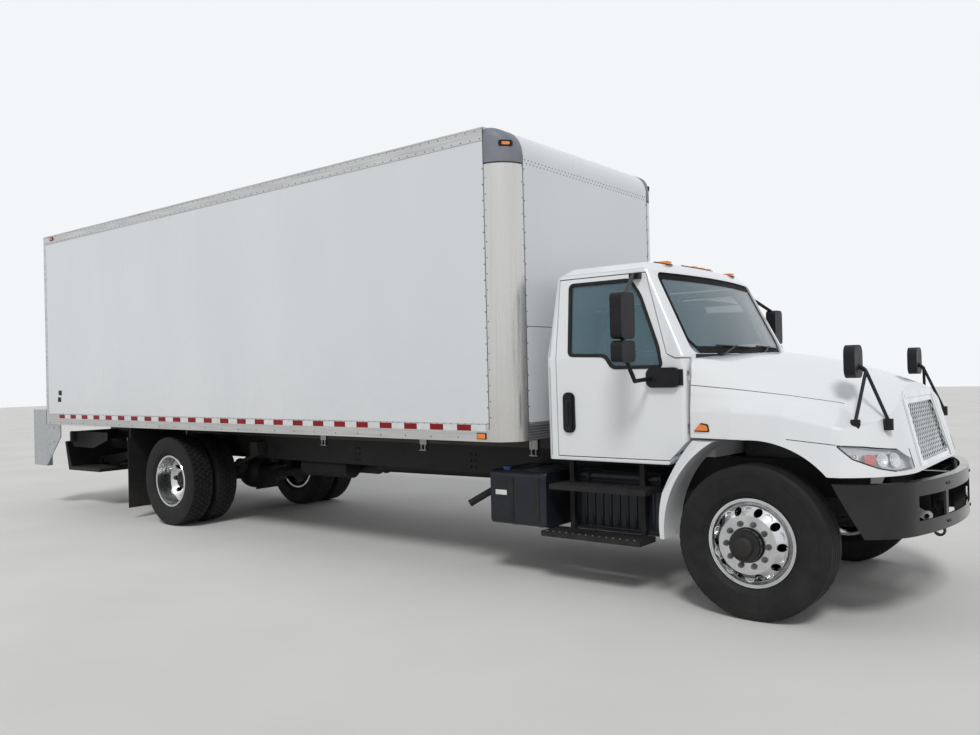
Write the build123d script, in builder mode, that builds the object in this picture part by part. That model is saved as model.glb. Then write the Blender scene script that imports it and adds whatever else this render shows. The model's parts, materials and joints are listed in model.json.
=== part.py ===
"""Box truck: conventional cab, van body and tuck-under liftgate.

Millimetres. X points forward, Y to the driver's side, Z up. The origin is on the ground
under the middle of the whole vehicle. Outlines seen from the side are written as X from
the front axle and Z from the ground.
"""
import os
from math import cos, radians, sin

from build123d import *

os.makedirs("parts", exist_ok=True)

# Layout along X
wheelbase = 6960.0
nose_reach = 1075.0
axle_to_cab = 500.0
cab_length = 1202.0
cab_box_gap = 180.0
box_length = 7951.0
liftgate_depth = 400.0
box_setback = axle_to_cab + cab_length + cab_box_gap
tail_reach = box_setback + box_length + liftgate_depth
front_axle_x = (tail_reach - nose_reach) / 2
rear_axle_x = front_axle_x - wheelbase
cab_front_x = front_axle_x - axle_to_cab
cab_back_x = cab_front_x - cab_length
box_front_x = front_axle_x - box_setback
box_rear_x = box_front_x - box_length

# Wheels and tyres
tyre_radius = 518.0
tyre_width = 279.0
rim_seat_radius = 285.75
rim_flange_radius = 298.5
rim_half_width = 112.0
rim_wall = 9.0
rim_lip = 10.0
disc_thickness = 22.0
disc_offset = 160.0
hub_pilot_radius = 110.0
hand_hole_circle = 222.0
hand_hole_radius = 27.0
hand_hole_count = 10
drum_radius = 225.0
drum_wall = 20.0
front_tyre_y = 1070.0
rear_outer_tyre_y = 1089.0
rear_disc_y = rear_outer_tyre_y - disc_offset
axle_z = tyre_radius
pin_clearance = 0.05
seat_clearance = 0.3
moving_gap = 8.0

# Chassis frame
rail_half_width = 430.0
rail_flange = 80.0
rail_wall = 8.0
rail_bottom_z = 747.0
rail_height = 260.0
rail_top_z = rail_bottom_z + rail_height
rail_front_x = front_axle_x + 700.0
rail_rear_x = box_rear_x + 93.0
rail_inner_y = rail_half_width - rail_wall
crossmember_width = 90.0
crossmember_z = (790.0, 970.0)
# Crossmember stations, from the front axle
crossmember_stations = (640.0, -1250.0, -3000.0, -4600.0, -6200.0, -7750.0, -9400.0)

# Van body
box_half_width = 1295.5
box_rail_z = (1133.0, 1282.0)
box_top_z = 3720.0
box_edge_z = 3695.0
box_corner_radius = 229.0
box_wall = 25.0
box_top_rail_height = 110.0
box_rail_depth = 45.0
corner_cap_height = 302.0
rear_post_width = 75.0
rear_post_depth = 60.0
rear_header_height = 190.0
box_inner_y = box_half_width - box_wall
floor_sill_width = 60.0
floor_sill_pitch = 520.0
floor_deck = 37.0

# Cab
cab_bottom_z = 997.0
cab_wall = 70.0
cab_skirt_y = 990.0
cab_floor_z = (1027.0, 1070.0)
belt_z = 1786.0
header_z = 2440.0
cab_roof = 40.0
glass_thickness = 6.0
glass_inset = 14.0
side_reach_y = 1300.0


def ahead(distance):
    """X of a point given from the front axle."""
    return front_axle_x + distance


def save(solid, name):
    """Label a finished piece and write its STEP file."""
    solid.label = name
    export_step(solid, f"parts/{name}.step")


def block(x, y, z, mode=Mode.ADD):
    """A box between two X, two Y and two Z values."""
    with Locations(((x[0] + x[1]) / 2, (y[0] + y[1]) / 2, (z[0] + z[1]) / 2)):
        Box(abs(x[1] - x[0]), abs(y[1] - y[0]), abs(z[1] - z[0]), mode=mode)


def round_bar(axis, centre, radius, length, mode=Mode.ADD):
    """A cylinder about a point, along X, Y or Z."""
    turn = {"x": (0, 90, 0), "y": (90, 0, 0), "z": (0, 0, 0)}[axis]
    with Locations(Location(centre, turn)):
        Cylinder(radius, length, mode=mode)


def strut(start, end, radius, mode=Mode.ADD):
    """A round bar from one point to another."""
    run = Vector(*end) - Vector(*start)
    with BuildSketch(Plane(origin=start, z_dir=run.normalized())) as section:
        Circle(radius)
    extrude(section.sketch, amount=run.length, mode=mode)


def side_slab(outline, y_inner, y_outer, corner=0.0):
    """The right-hand solid of an outline seen from the side, between two distances from the middle."""
    with BuildPart() as slab:
        with BuildSketch(Plane.XZ.offset(y_inner)) as face:
            with BuildLine():
                Polyline([(ahead(x), z) for x, z in outline], close=True)
            make_face()
            if corner > 0:
                fillet(face.vertices(), radius=corner)
        extrude(amount=y_outer - y_inner)
    return slab.part


def wheel_plane(x, y, side):
    """A plane through the wheel's axis: its X runs outboard and its Y runs up."""
    return Plane(origin=(x, side * y, axle_z), x_dir=(0, side, 0), z_dir=(side, 0, 0))


def wheel_axis(x, side):
    """The axis a wheel turns about."""
    return Axis((x, 0, axle_z), (0, side, 0))


def outboard_plane(x, y, z, side):
    """A plane square to the axle, facing outboard."""
    return Plane(origin=(x, side * y, z), x_dir=(side, 0, 0), z_dir=(0, side, 0))


# Frame rails: two channels, open towards the middle
with BuildPart() as frame_rails:
    span = (rail_rear_x, rail_front_x)
    block(span, (rail_inner_y, rail_half_width), (rail_bottom_z, rail_top_z))
    for flange_z in (rail_bottom_z, rail_top_z - rail_wall):
        block(span, (rail_half_width - rail_flange, rail_inner_y), (flange_z, flange_z + rail_wall))
    mirror(about=Plane.XZ)
save(frame_rails.part, "frame_rails")

with BuildPart() as crossmembers:
    for station in crossmember_stations:
        middle = ahead(station)
        block(
            (middle - crossmember_width / 2, middle + crossmember_width / 2),
            (-rail_inner_y, rail_inner_y),
            crossmember_z,
        )
save(crossmembers.part, "crossmembers")

# Engine and gearbox: one plain block at its real place, on arms that reach the rails
engine_x = (ahead(-370.0), ahead(480.0))
engine_half_width = 300.0
engine_z = (600.0, 1340.0)
engine_arm_z = (850.0, 900.0)
gearbox_radius = 190.0
gearbox_length = 780.0
gearbox_z = 720.0
gearbox_end_x = engine_x[0] - gearbox_length
with BuildPart() as engine_and_gearbox:
    block(engine_x, (-engine_half_width, engine_half_width), engine_z)
    for arm_x in (ahead(-250.0), ahead(250.0)):
        block((arm_x - 40, arm_x + 40), (-rail_inner_y, rail_inner_y), engine_arm_z)
    round_bar("x", (engine_x[0] - gearbox_length / 2, 0, gearbox_z), gearbox_radius, gearbox_length)
save(engine_and_gearbox.part, "engine_and_gearbox")

# Drive shaft in two runs, with its centre bearing hung from a crossmember
shaft_radius = 55.0
bearing_x = ahead(crossmember_stations[3])
bearing_z = 680.0
pinion_reach = 420.0
with BuildPart() as driveshaft:
    strut((gearbox_end_x - 20, 0, gearbox_z), (bearing_x, 0, bearing_z), shaft_radius)
    round_bar("x", (gearbox_end_x - 20, 0, gearbox_z), shaft_radius * 1.25, 40)
    strut((bearing_x, 0, bearing_z), (rear_axle_x + pinion_reach, 0, axle_z), shaft_radius)
    with Locations((bearing_x, 0, bearing_z)):
        Sphere(shaft_radius * 1.3)
    block((bearing_x - 30, bearing_x + 30), (-90, 90), (bearing_z, crossmember_z[0]))
    flange_x = (rear_axle_x + pinion_reach, rear_axle_x + pinion_reach + 90)
    block(flange_x, (-90, 90), (axle_z - 90, axle_z + 90))
    block(
        (rear_axle_x + pinion_reach - 20, rear_axle_x + pinion_reach),
        (-120, 120),
        (axle_z - 120, axle_z + 120),
        mode=Mode.SUBTRACT,
    )
save(driveshaft.part, "driveshaft")

# Front axle: a dropped beam between two king pin eyes
kingpin_y = 880.0
kingpin_radius = 22.0
eye_radius = 45.0
eye_height = 110.0
beam_depth = 90.0
beam_half_height = 42.0
beam_drop = 78.0
beam_z = axle_z - beam_drop
front_spring_pad_z = beam_z + beam_half_height + 15.0
with BuildPart() as front_axle_beam:
    with BuildSketch(Plane.YZ.offset(front_axle_x - beam_depth / 2)):
        with BuildLine():
            Polyline(
                (kingpin_y, axle_z + beam_half_height),
                (kingpin_y - 120, axle_z + beam_half_height),
                (kingpin_y - 260, beam_z + beam_half_height),
                (0, beam_z + beam_half_height),
                (0, beam_z - beam_half_height),
                (kingpin_y - 240, beam_z - beam_half_height),
                (kingpin_y - 80, axle_z - beam_half_height),
                (kingpin_y, axle_z - beam_half_height),
                close=True,
            )
        make_face()
    extrude(amount=beam_depth)
    block(
        (front_axle_x - 75, front_axle_x + 75),
        (rail_half_width - rail_flange, rail_half_width),
        (beam_z + beam_half_height - 10, front_spring_pad_z),
    )
    round_bar("z", (front_axle_x, kingpin_y, axle_z), eye_radius, eye_height)
    bore_radius = kingpin_radius + pin_clearance
    round_bar("z", (front_axle_x, kingpin_y, axle_z), bore_radius, eye_height, mode=Mode.SUBTRACT)
    for face_x in (front_axle_x - beam_depth / 2, front_axle_x + beam_depth / 2):
        block(
            (face_x - 28, face_x + 28),
            (0, kingpin_y - 290),
            (beam_z - beam_half_height + 18, beam_z + beam_half_height - 18),
            mode=Mode.SUBTRACT,
        )
    mirror(about=Plane.XZ)
save(front_axle_beam.part, "front_axle_beam")

# Leaf springs with their hangers
# half length, spring width, centre of the spring in Y, height of the pad, height of the eyes
spring_table = {
    "front": (front_axle_x, 600.0, 70.0, rail_half_width - rail_flange / 2, front_spring_pad_z, 690.0),
    "rear": (rear_axle_x, 720.0, 90.0, 500.0, axle_z + 100.0, 800.0),
}
leaf_thickness = 16.0
# share of the half length and number of the leaf under the main one
leaves = ((1.0, 0), (0.72, 1), (0.45, 2))
with BuildPart() as leaf_springs:
    for middle_x, half_length, width, spring_y, pad_z, eye_z in spring_table.values():
        for share, leaf in leaves:
            low = pad_z + (len(leaves) - 1 - leaf) * leaf_thickness
            rise = (eye_z - low) * share * share
            reach = half_length * share
            with BuildSketch(Plane.XZ.offset(-spring_y - width / 2)):
                with BuildLine():
                    lower = ThreePointArc(
                        (middle_x - reach, low + rise), (middle_x, low), (middle_x + reach, low + rise)
                    )
                    Line(lower @ 1, lower @ 1 + Vector(0, leaf_thickness))
                    ThreePointArc(
                        (middle_x + reach, low + rise + leaf_thickness),
                        (middle_x, low + leaf_thickness),
                        (middle_x - reach, low + rise + leaf_thickness),
                    )
                    Line((middle_x - reach, low + rise + leaf_thickness), lower @ 0)
                make_face()
            extrude(amount=width)
        for end in (-1, 1):
            end_x = middle_x + end * half_length
            round_bar("y", (end_x, spring_y, eye_z + leaf_thickness / 2), 28, width)
    front_x, front_half, front_width, front_y, front_pad, front_eye = spring_table["front"]
    for end in (-1, 1):
        end_x = front_x + end * front_half
        block(
            (end_x - 35, end_x + 35),
            (front_y - front_width / 2, front_y + front_width / 2),
            (front_eye + leaf_thickness / 2, rail_bottom_z),
        )
    rear_x, rear_half, rear_width, rear_y, rear_pad, rear_eye = spring_table["rear"]
    for end in (-1, 1):
        end_x = rear_x + end * rear_half
        block(
            (end_x - 70, end_x + 70),
            (rail_half_width, rear_y + rear_width / 2 + 12),
            (rear_eye - 10, rail_top_z - 60),
        )
    mirror(about=Plane.XZ)
save(leaf_springs.part, "leaf_springs")

# Rear axle: housing, differential and spindles
housing_radius = 78.0
spindle_radius = 50.0
rear_backing_y = rear_disc_y - disc_thickness - 207.0
rear_spindle_end_y = rear_disc_y + 40.0
with BuildPart() as rear_axle:
    round_bar("y", (rear_axle_x, 0, axle_z), housing_radius, 2 * rear_backing_y)
    round_bar("y", (rear_axle_x, 0, axle_z), spindle_radius, 2 * rear_spindle_end_y)
    with Locations((rear_axle_x, 0, axle_z)):
        Sphere(215)
    round_bar("x", (rear_axle_x + pinion_reach / 2, 0, axle_z), 105, pinion_reach)
    for side in (-1, 1):
        round_bar("y", (rear_axle_x, side * (rear_backing_y + 4), axle_z), drum_radius - 12, 8)
        block(
            (rear_axle_x - 80, rear_axle_x + 80),
            (side * (rear_y - 45), side * (rear_y + 45)),
            (axle_z, rear_pad),
        )
save(rear_axle.part, "rear_axle")

# Tyres: plain carcasses with round shoulders, the tread is left off
bead_half_width = rim_half_width - rim_lip - seat_clearance
tyre_half_width = tyre_width / 2
# distance from the tyre's middle, radius
tyre_section = (
    (bead_half_width, rim_seat_radius + seat_clearance),
    (bead_half_width, rim_flange_radius + seat_clearance),
    (tyre_half_width * 0.97, 372.0),
    (tyre_half_width, 410.0),
    (tyre_half_width * 0.95, 462.0),
    (tyre_half_width * 0.84, tyre_radius - 13.0),
    (tyre_half_width * 0.72, tyre_radius),
)


def tyre_solid(x, y, side):
    """One tyre about its axle, its middle at distance y."""
    outer = list(tyre_section)
    inner = [(-half_width, radius) for half_width, radius in reversed(tyre_section)]
    with BuildPart() as tyre:
        with BuildSketch(wheel_plane(x, y, side)):
            with BuildLine():
                Polyline(outer + inner, close=True)
            make_face()
        revolve(axis=wheel_axis(x, side))
    return tyre.part


def rim_and_disc(offset, disc_side):
    """Section of a rim and its disc in a wheel plane; the disc leans to one side of the rim."""
    seat = rim_seat_radius
    inner = seat - rim_wall
    edge = rim_half_width
    for end in (-1, 1):
        Polygon(
            (offset + end * edge, inner),
            (offset + end * edge, rim_flange_radius),
            (offset + end * (edge - rim_lip), rim_flange_radius),
            (offset + end * (edge - rim_lip), seat),
            (offset + end * (edge - 30), seat),
            (offset + end * (edge - 30), inner),
            align=None,
        )
    Polygon(
        (offset - edge + 30, seat),
        (offset + edge - 30, seat),
        (offset + edge - 30, inner),
        (offset - edge + 30, inner),
        align=None,
    )
    face = offset + disc_side * disc_offset
    back = face + disc_side * disc_thickness
    Polygon(
        (offset + disc_side * 60, inner + 2),
        (offset + disc_side * 90, inner + 2),
        (offset + disc_side * 128, 250.0),
        (back, 196.0),
        (back, hub_pilot_radius - 5),
        (face, hub_pilot_radius - 5),
        (face, 190.0),
        (offset + disc_side * 108, 236.0),
        align=None,
    )


def ring(offset_low, offset_high, radius_low, radius_high):
    """A plain rectangle of a wheel section."""
    with Locations(((offset_low + offset_high) / 2, (radius_low + radius_high) / 2)):
        Rectangle(offset_high - offset_low, radius_high - radius_low)


front_spindle_radius = 35.0
front_drum_mouth = -108.0
front_hub_end = disc_offset + disc_thickness + 40.0
rear_drum_depth = 190.0
for side_name, side in (("left", 1), ("right", -1)):
    # Front wheel: convex disc, hub, drum and closed cap
    with BuildPart() as front_wheel:
        with BuildSketch(wheel_plane(front_axle_x, front_tyre_y, side)):
            rim_and_disc(0.0, 1)
            ring(-100.0, disc_offset, front_spindle_radius + pin_clearance, 95.0)
            ring(disc_offset, front_hub_end, 0.0, hub_pilot_radius)
            ring(40.0, 60.0, 80.0, drum_radius)
            ring(front_drum_mouth, 60.0, drum_radius - drum_wall, drum_radius)
        revolve(axis=wheel_axis(front_axle_x, side))
        with BuildSketch(outboard_plane(front_axle_x, front_tyre_y + 65, axle_z, side)):
            with PolarLocations(hand_hole_circle, hand_hole_count):
                Circle(hand_hole_radius)
        extrude(amount=disc_offset, mode=Mode.SUBTRACT)
    save(front_wheel.part, f"front_wheel_{side_name}")

    save(tyre_solid(front_axle_x, front_tyre_y, side), f"front_tyre_{side_name}")

    # Rear twin wheels: two rims whose discs meet at the hub, and the drum
    with BuildPart() as rear_wheels:
        with BuildSketch(wheel_plane(rear_axle_x, rear_disc_y, side)):
            rim_and_disc(disc_offset, -1)
            rim_and_disc(-disc_offset, 1)
            ring(-rear_drum_depth, 50.0, spindle_radius + pin_clearance, 100.0)
            ring(50.0, 90.0, 0.0, hub_pilot_radius)
            ring(-disc_thickness - 20, -disc_thickness, 80.0, drum_radius)
            ring(-disc_thickness - rear_drum_depth, -disc_thickness, drum_radius - drum_wall, drum_radius)
        revolve(axis=wheel_axis(rear_axle_x, side))
        with BuildSketch(outboard_plane(rear_axle_x, rear_disc_y - disc_thickness - 60, axle_z, side)):
            with PolarLocations(hand_hole_circle + 8, hand_hole_count):
                Circle(hand_hole_radius)
        extrude(amount=2 * disc_offset, mode=Mode.SUBTRACT)
    save(rear_wheels.part, f"rear_wheels_{side_name}")

    with BuildPart() as rear_tyres:
        add(tyre_solid(rear_axle_x, rear_disc_y + disc_offset, side))
        add(tyre_solid(rear_axle_x, rear_disc_y - disc_offset, side))
    save(rear_tyres.part, f"rear_tyres_{side_name}")

# Steering: knuckles on their king pins, and the tie rod between their arms
ear_height = 30.0
ear_gap = 3.0
ear_radius = 46.0
web_half_width = 46.0
web_y = (kingpin_y + eye_radius + 7, front_tyre_y + front_drum_mouth - 14)
backing_y = (front_tyre_y + front_drum_mouth - 14, front_tyre_y + front_drum_mouth - 6)
arm_length = 200.0
arm_half_width = 24.0
arm_z = (axle_z - eye_height / 2 - ear_gap - ear_height, axle_z - eye_height / 2 - ear_gap)
tie_rod_z = arm_z[0] - 45.0
tie_rod_x = front_axle_x - arm_length
tie_rod_radius = 20.0
stud_radius = 12.0
stud_play = 0.5
upper_ear_z = (axle_z + eye_height / 2 + ear_gap, axle_z + eye_height / 2 + ear_gap + ear_height)
for side_name, side in (("left", 1), ("right", -1)):
    with BuildPart() as knuckle:
        pin_y = side * kingpin_y
        for ear in (arm_z, upper_ear_z):
            round_bar("z", (front_axle_x, pin_y, sum(ear) / 2), ear_radius, ear_height)
            block(
                (front_axle_x - web_half_width, front_axle_x + web_half_width),
                (pin_y, side * web_y[1]),
                ear,
            )
        block(
            (front_axle_x - web_half_width, front_axle_x + web_half_width),
            (side * web_y[0], side * web_y[1]),
            (arm_z[0], upper_ear_z[1]),
        )
        round_bar("z", (front_axle_x, pin_y, axle_z), kingpin_radius, upper_ear_z[1] - arm_z[0])
        plate_middle = (front_axle_x, side * sum(backing_y) / 2, axle_z)
        round_bar("y", plate_middle, drum_radius - 10, backing_y[1] - backing_y[0])
        spindle_end = front_tyre_y + disc_offset - 10
        round_bar(
            "y",
            (front_axle_x, side * (web_y[1] + spindle_end) / 2, axle_z),
            front_spindle_radius,
            spindle_end - web_y[1],
        )
        block((tie_rod_x, front_axle_x), (pin_y - arm_half_width, pin_y + arm_half_width), arm_z)
        eye_middle = (tie_rod_x, pin_y, sum(arm_z) / 2)
        round_bar("z", eye_middle, 28, ear_height)
        round_bar("z", eye_middle, stud_radius + stud_play, ear_height, mode=Mode.SUBTRACT)
    save(knuckle.part, f"knuckle_{side_name}")

with BuildPart() as tie_rod:
    round_bar("y", (tie_rod_x, 0, tie_rod_z), tie_rod_radius, 2 * kingpin_y)
    for side in (-1, 1):
        round_bar("z", (tie_rod_x, side * kingpin_y, tie_rod_z), 28, 50)
        stud_middle = (tie_rod_x, side * kingpin_y, (tie_rod_z + arm_z[1]) / 2)
        round_bar("z", stud_middle, stud_radius, arm_z[1] - tie_rod_z)
save(tie_rod.part, "tie_rod")

# Tanks and boxes hung from the rails
saddle_y = rail_half_width
fuel_tank_x = (ahead(-2650.0), ahead(-800.0))
fuel_tank_y = (480.0, 880.0)
fuel_tank_z = (400.0, 930.0)
with BuildPart() as fuel_tank:
    block(fuel_tank_x, fuel_tank_y, fuel_tank_z)
    fillet(fuel_tank.edges().filter_by(Axis.X), radius=110)
    for strap_x in (fuel_tank_x[0] + 250, fuel_tank_x[1] - 250):
        strap_z = (rail_bottom_z + 20, rail_top_z - 110)
        block((strap_x - 30, strap_x + 30), (saddle_y, fuel_tank_y[0] + 30), strap_z)
save(fuel_tank.part, "fuel_tank")

battery_box_x = (ahead(-1600.0), ahead(-810.0))
battery_box_y = (480.0, 880.0)
battery_box_z = (420.0, 900.0)
urea_tank_x = (ahead(-2250.0), ahead(-1690.0))
urea_tank_y = (480.0, 1120.0)
urea_tank_z = (443.0, 886.0)
with BuildPart() as side_boxes:
    block(battery_box_x, (-battery_box_y[1], -battery_box_y[0]), battery_box_z)
    block(urea_tank_x, (-urea_tank_y[1], -urea_tank_y[0]), urea_tank_z)
    fillet(side_boxes.edges().filter_by(Axis.X), radius=45)
    for strap_x in (sum(battery_box_x) / 2, sum(urea_tank_x) / 2):
        strap_z = (rail_bottom_z + 20, rail_bottom_z + 120)
        block((strap_x - 60, strap_x + 60), (-battery_box_y[0] - 20, -saddle_y), strap_z)
save(side_boxes.part, "side_boxes")

# Air tanks under the rails
air_tank_radius = 115.0
air_tank_length = 760.0
air_tank_z = crossmember_z[0] - air_tank_radius
air_strap_x = (ahead(-5340.0), ahead(-5260.0))
with BuildPart() as air_tanks:
    for tank_y in (-200.0, 200.0):
        round_bar("x", (ahead(-5300.0), tank_y, air_tank_z), air_tank_radius, air_tank_length)
        block(air_strap_x, (tank_y - 60, tank_y + 60), (air_tank_z, rail_bottom_z + rail_wall))
    block(air_strap_x, (-rail_inner_y, rail_inner_y), (rail_bottom_z + rail_wall, rail_bottom_z + 30))
save(air_tanks.part, "air_tanks")

# Cab steps: two treads a side on upright hangers
step_y = (900.0, 1150.0)
# X range from the front axle, height range of the tread
step_table = ((-1639.0, -797.0, 767.0, 807.0), (-1726.0, -849.0, 392.0, 432.0))
step_hanger_x = (-1560.0, -930.0)
step_foot_z = (600.0, 680.0)
with BuildPart() as cab_steps:
    for low_x, high_x, low_z, high_z in step_table:
        block((ahead(low_x), ahead(high_x)), step_y, (low_z, high_z))
    for hanger in step_hanger_x:
        hanger_x = (ahead(hanger - 20), ahead(hanger + 20))
        block(hanger_x, (step_y[0], step_y[0] + 40), (step_table[1][3], cab_bottom_z))
        block(hanger_x, (battery_box_y[1] + seat_clearance, step_y[0]), step_foot_z)
    mirror(about=Plane.XZ)
save(cab_steps.part, "cab_steps")

# Cab body: sections from the floor up
# height, half width, back setback, front corner setback, bow of the front, rear radius, front radius
cab_sections = (
    (cab_bottom_z, 1065.0, 0.0, 0.0, 100.0, 60.0, 40.0),
    (belt_z, 1078.0, 0.0, 0.0, 100.0, 60.0, 40.0),
    (header_z, 985.0, 40.0, 315.0, 100.0, 90.0, 60.0),
    (2505.0, 905.0, 120.0, 375.0, 90.0, 90.0, 60.0),
    (2548.0, 640.0, 250.0, 500.0, 60.0, 90.0, 60.0),
)


def cab_outline(half_width, back, front, bow, rear_radius, front_radius):
    """One level section of the cab, in the sketch that is open."""
    with BuildSketch(mode=Mode.PRIVATE) as outline:
        with BuildLine():
            Line((back, half_width), (back, -half_width))
            Line((back, -half_width), (front, -half_width))
            ThreePointArc((front, -half_width), (front + bow, 0), (front, half_width))
            Line((front, half_width), (back, half_width))
        make_face()
        fillet(outline.vertices().group_by(Axis.X)[0], radius=rear_radius)
        fillet(outline.vertices().group_by(Axis.X)[-1], radius=front_radius)
    return outline.sketch


def cab_solid(inset, first=0, last=None, drop=0.0, base=None):
    """The cab's outer body drawn in by an inset, between two of its sections."""
    rows = cab_sections[first:last]
    with BuildPart() as body:
        for index, (height, half_width, back, front, bow, rear_radius, front_radius) in enumerate(rows):
            level = height if height <= belt_z else height - drop
            if index == 0 and base is not None:
                level = base
            with BuildSketch(Plane.XY.offset(level)):
                add(
                    cab_outline(
                        half_width - inset,
                        cab_back_x + back + inset,
                        cab_front_x - front - inset,
                        bow,
                        max(rear_radius - inset, 12),
                        max(front_radius - inset, 8),
                    )
                )
        loft(ruled=True)
    return body.part


# Door hinges: lugs on the cab with pins that stand in the door's front edge
hinge_x = cab_front_x - 20.0
hinge_y = 1035.0
hinge_pin_radius = 8.0
hinge_lug_radius = 11.0
hinge_lug_height = 70.0
hinge_pin_length = 120.0
hinge_z = (1260.0, 1640.0)
hinge_relief_x = hinge_x + 10.0
hinge_relief_y = hinge_y - 30.0

# Outlines of the door and its window, seen from the side
door_outline = (
    (-490.0, 1180.0),
    (-490.0, 1765.0),
    (-570.0, 1765.0),
    (-640.0, 1800.0),
    (-838.0, 2415.0),
    (-1591.0, 2415.0),
    (-1591.0, 1030.0),
    (-635.0, 1030.0),
)
window_outline = (
    (-672.0, 1706.0),
    (-700.0, 1850.0),
    (-868.0, 2250.0),
    (-960.0, 2375.0),
    (-1500.0, 2375.0),
    (-1475.0, 1812.0),
    (-1150.0, 1800.0),
    (-1090.0, 1706.0),
)
cab_outer = cab_solid(0.0)
cab_inner = cab_solid(cab_wall, drop=cab_roof, base=cab_floor_z[1])
door_low_inner_y = cab_sections[0][1] - cab_wall - 2
door_high_inner_y = cab_sections[2][1] - cab_wall - 40

cab_glass_outer = cab_solid(glass_inset)
cab_glass_inner = cab_solid(glass_inset + glass_thickness)


def grown(outline, amount):
    """An outline pushed outwards by an amount, corners kept."""
    with BuildSketch(mode=Mode.PRIVATE) as sketch:
        with BuildLine():
            Polyline(outline, close=True)
        make_face()
        offset(amount=amount, kind=Kind.INTERSECTION)
    return sketch.sketch


def side_prism(outline, amount, y_inner, corner=0.0):
    """A prism through the right-hand wall from an outline that is grown by an amount."""
    with BuildPart() as prism:
        with BuildSketch(Plane.XZ.offset(y_inner)) as face:
            with Locations((front_axle_x, 0)):
                add(grown(outline, amount))
            if corner > 0:
                fillet(face.vertices(), radius=corner)
        extrude(amount=side_reach_y - y_inner)
    return prism.part


# Windscreen and rear window openings, seen from the front
# height, half width
windscreen_rows = ((1800.0, 955.0), (2425.0, 912.0))
rear_window_rows = ((1830.0, 430.0), (2230.0, 430.0))


def cross_prism(rows, amount, x_low, x_high, corner):
    """A prism along X from rows of height and half width, grown by an amount."""
    (low_z, low_y), (high_z, high_y) = rows
    with BuildPart() as prism:
        with BuildSketch(Plane.YZ.offset(x_low)) as face:
            with BuildLine():
                Polyline(
                    (-low_y - amount, low_z - amount),
                    (low_y + amount, low_z - amount),
                    (high_y + amount, high_z + amount),
                    (-high_y - amount, high_z + amount),
                    close=True,
                )
            make_face()
            fillet(face.vertices(), radius=corner)
        extrude(amount=x_high - x_low)
    return prism.part


def door_zone(amount):
    """The space that the right-hand door fills, grown by an amount on every side."""
    with BuildPart() as zone:
        add(side_prism(door_outline, amount, door_high_inner_y - amount))
        block(
            (cab_back_x, cab_front_x + 300),
            (-door_low_inner_y + amount, -door_high_inner_y + 2 * amount),
            (cab_bottom_z, belt_z - amount),
            mode=Mode.SUBTRACT,
        )
    return zone.part


cab_mount_x = (ahead(-620.0), ahead(-1600.0))
windscreen_span = (cab_front_x - 480, cab_front_x + 200)
rear_window_span = (cab_back_x - 50, cab_back_x + 200)
front_chamfer = ((-380.0, 960.0), (-380.0, 1180.0), (-500.0, 1180.0), (-650.0, 990.0), (-650.0, 960.0))
with BuildPart() as cab_shell:
    add(cab_outer)
    add(cab_inner, mode=Mode.SUBTRACT)
    block(
        (cab_back_x - 10, cab_front_x + 200),
        (-cab_skirt_y, cab_skirt_y),
        (cab_bottom_z - 10, cab_floor_z[0]),
        mode=Mode.SUBTRACT,
    )
    for mount_x in cab_mount_x:
        for side in (-1, 1):
            block(
                (mount_x - 50, mount_x + 50),
                (side * (rail_half_width - rail_flange), side * rail_half_width),
                (rail_top_z, cab_floor_z[0]),
            )
    for side_cut in (door_zone(moving_gap), side_slab(front_chamfer, 700, 1200)):
        add(side_cut, mode=Mode.SUBTRACT)
        add(mirror(side_cut, about=Plane.XZ, mode=Mode.PRIVATE), mode=Mode.SUBTRACT)
    add(cross_prism(windscreen_rows, 0.0, *windscreen_span, 70.0), mode=Mode.SUBTRACT)
    add(cross_prism(rear_window_rows, 0.0, *rear_window_span, 50.0), mode=Mode.SUBTRACT)
    for side in (-1, 1):
        for middle_z in hinge_z:
            lug_z = (middle_z - hinge_lug_height / 2, middle_z + hinge_lug_height / 2)
            block(
                (hinge_x - hinge_lug_radius, hinge_x + hinge_lug_radius),
                (side * (door_low_inner_y - 30), side * hinge_y),
                lug_z,
            )
            round_bar("z", (hinge_x, side * hinge_y, middle_z), hinge_lug_radius, hinge_lug_height)
            round_bar("z", (hinge_x, side * hinge_y, middle_z), hinge_pin_radius, hinge_pin_length)
save(cab_shell.part, "cab_shell")
print("cab", cab_shell.part.volume, len(cab_shell.part.solids()))

with BuildPart() as glass_skin:
    add(cab_glass_outer)
    add(cab_glass_inner, mode=Mode.SUBTRACT)

with BuildPart() as cab_glass:
    add(cross_prism(windscreen_rows, -seat_clearance, *windscreen_span, 70.0))
    add(cross_prism(rear_window_rows, -seat_clearance, *rear_window_span, 50.0))
    add(glass_skin.part, mode=Mode.INTERSECT)
save(cab_glass.part, "cab_glass")

# Doors: the cab's own wall cut along the door's outline, and their glass
with BuildPart() as door_right:
    add(cab_outer)
    add(cab_inner, mode=Mode.SUBTRACT)
    add(door_zone(0.0), mode=Mode.INTERSECT)
    add(side_prism(window_outline, 0.0, 700, 25.0), mode=Mode.SUBTRACT)
    block(
        (hinge_relief_x, cab_front_x + 200),
        (-hinge_relief_y, -door_low_inner_y + 20),
        (cab_bottom_z, belt_z),
        mode=Mode.SUBTRACT,
    )
    for middle_z in hinge_z:
        block(
            (hinge_x - 45, cab_front_x + 200),
            (-hinge_y - hinge_lug_radius - 2, -door_low_inner_y + 20),
            (middle_z - hinge_lug_height / 2 - 1, middle_z + hinge_lug_height / 2 + 1),
            mode=Mode.SUBTRACT,
        )
        round_bar(
            "z",
            (hinge_x, -hinge_y, middle_z),
            hinge_pin_radius + pin_clearance,
            hinge_pin_length + 1,
            mode=Mode.SUBTRACT,
        )
save(door_right.part, "door_right")
print("door", door_right.part.volume, len(door_right.part.solids()))
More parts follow.
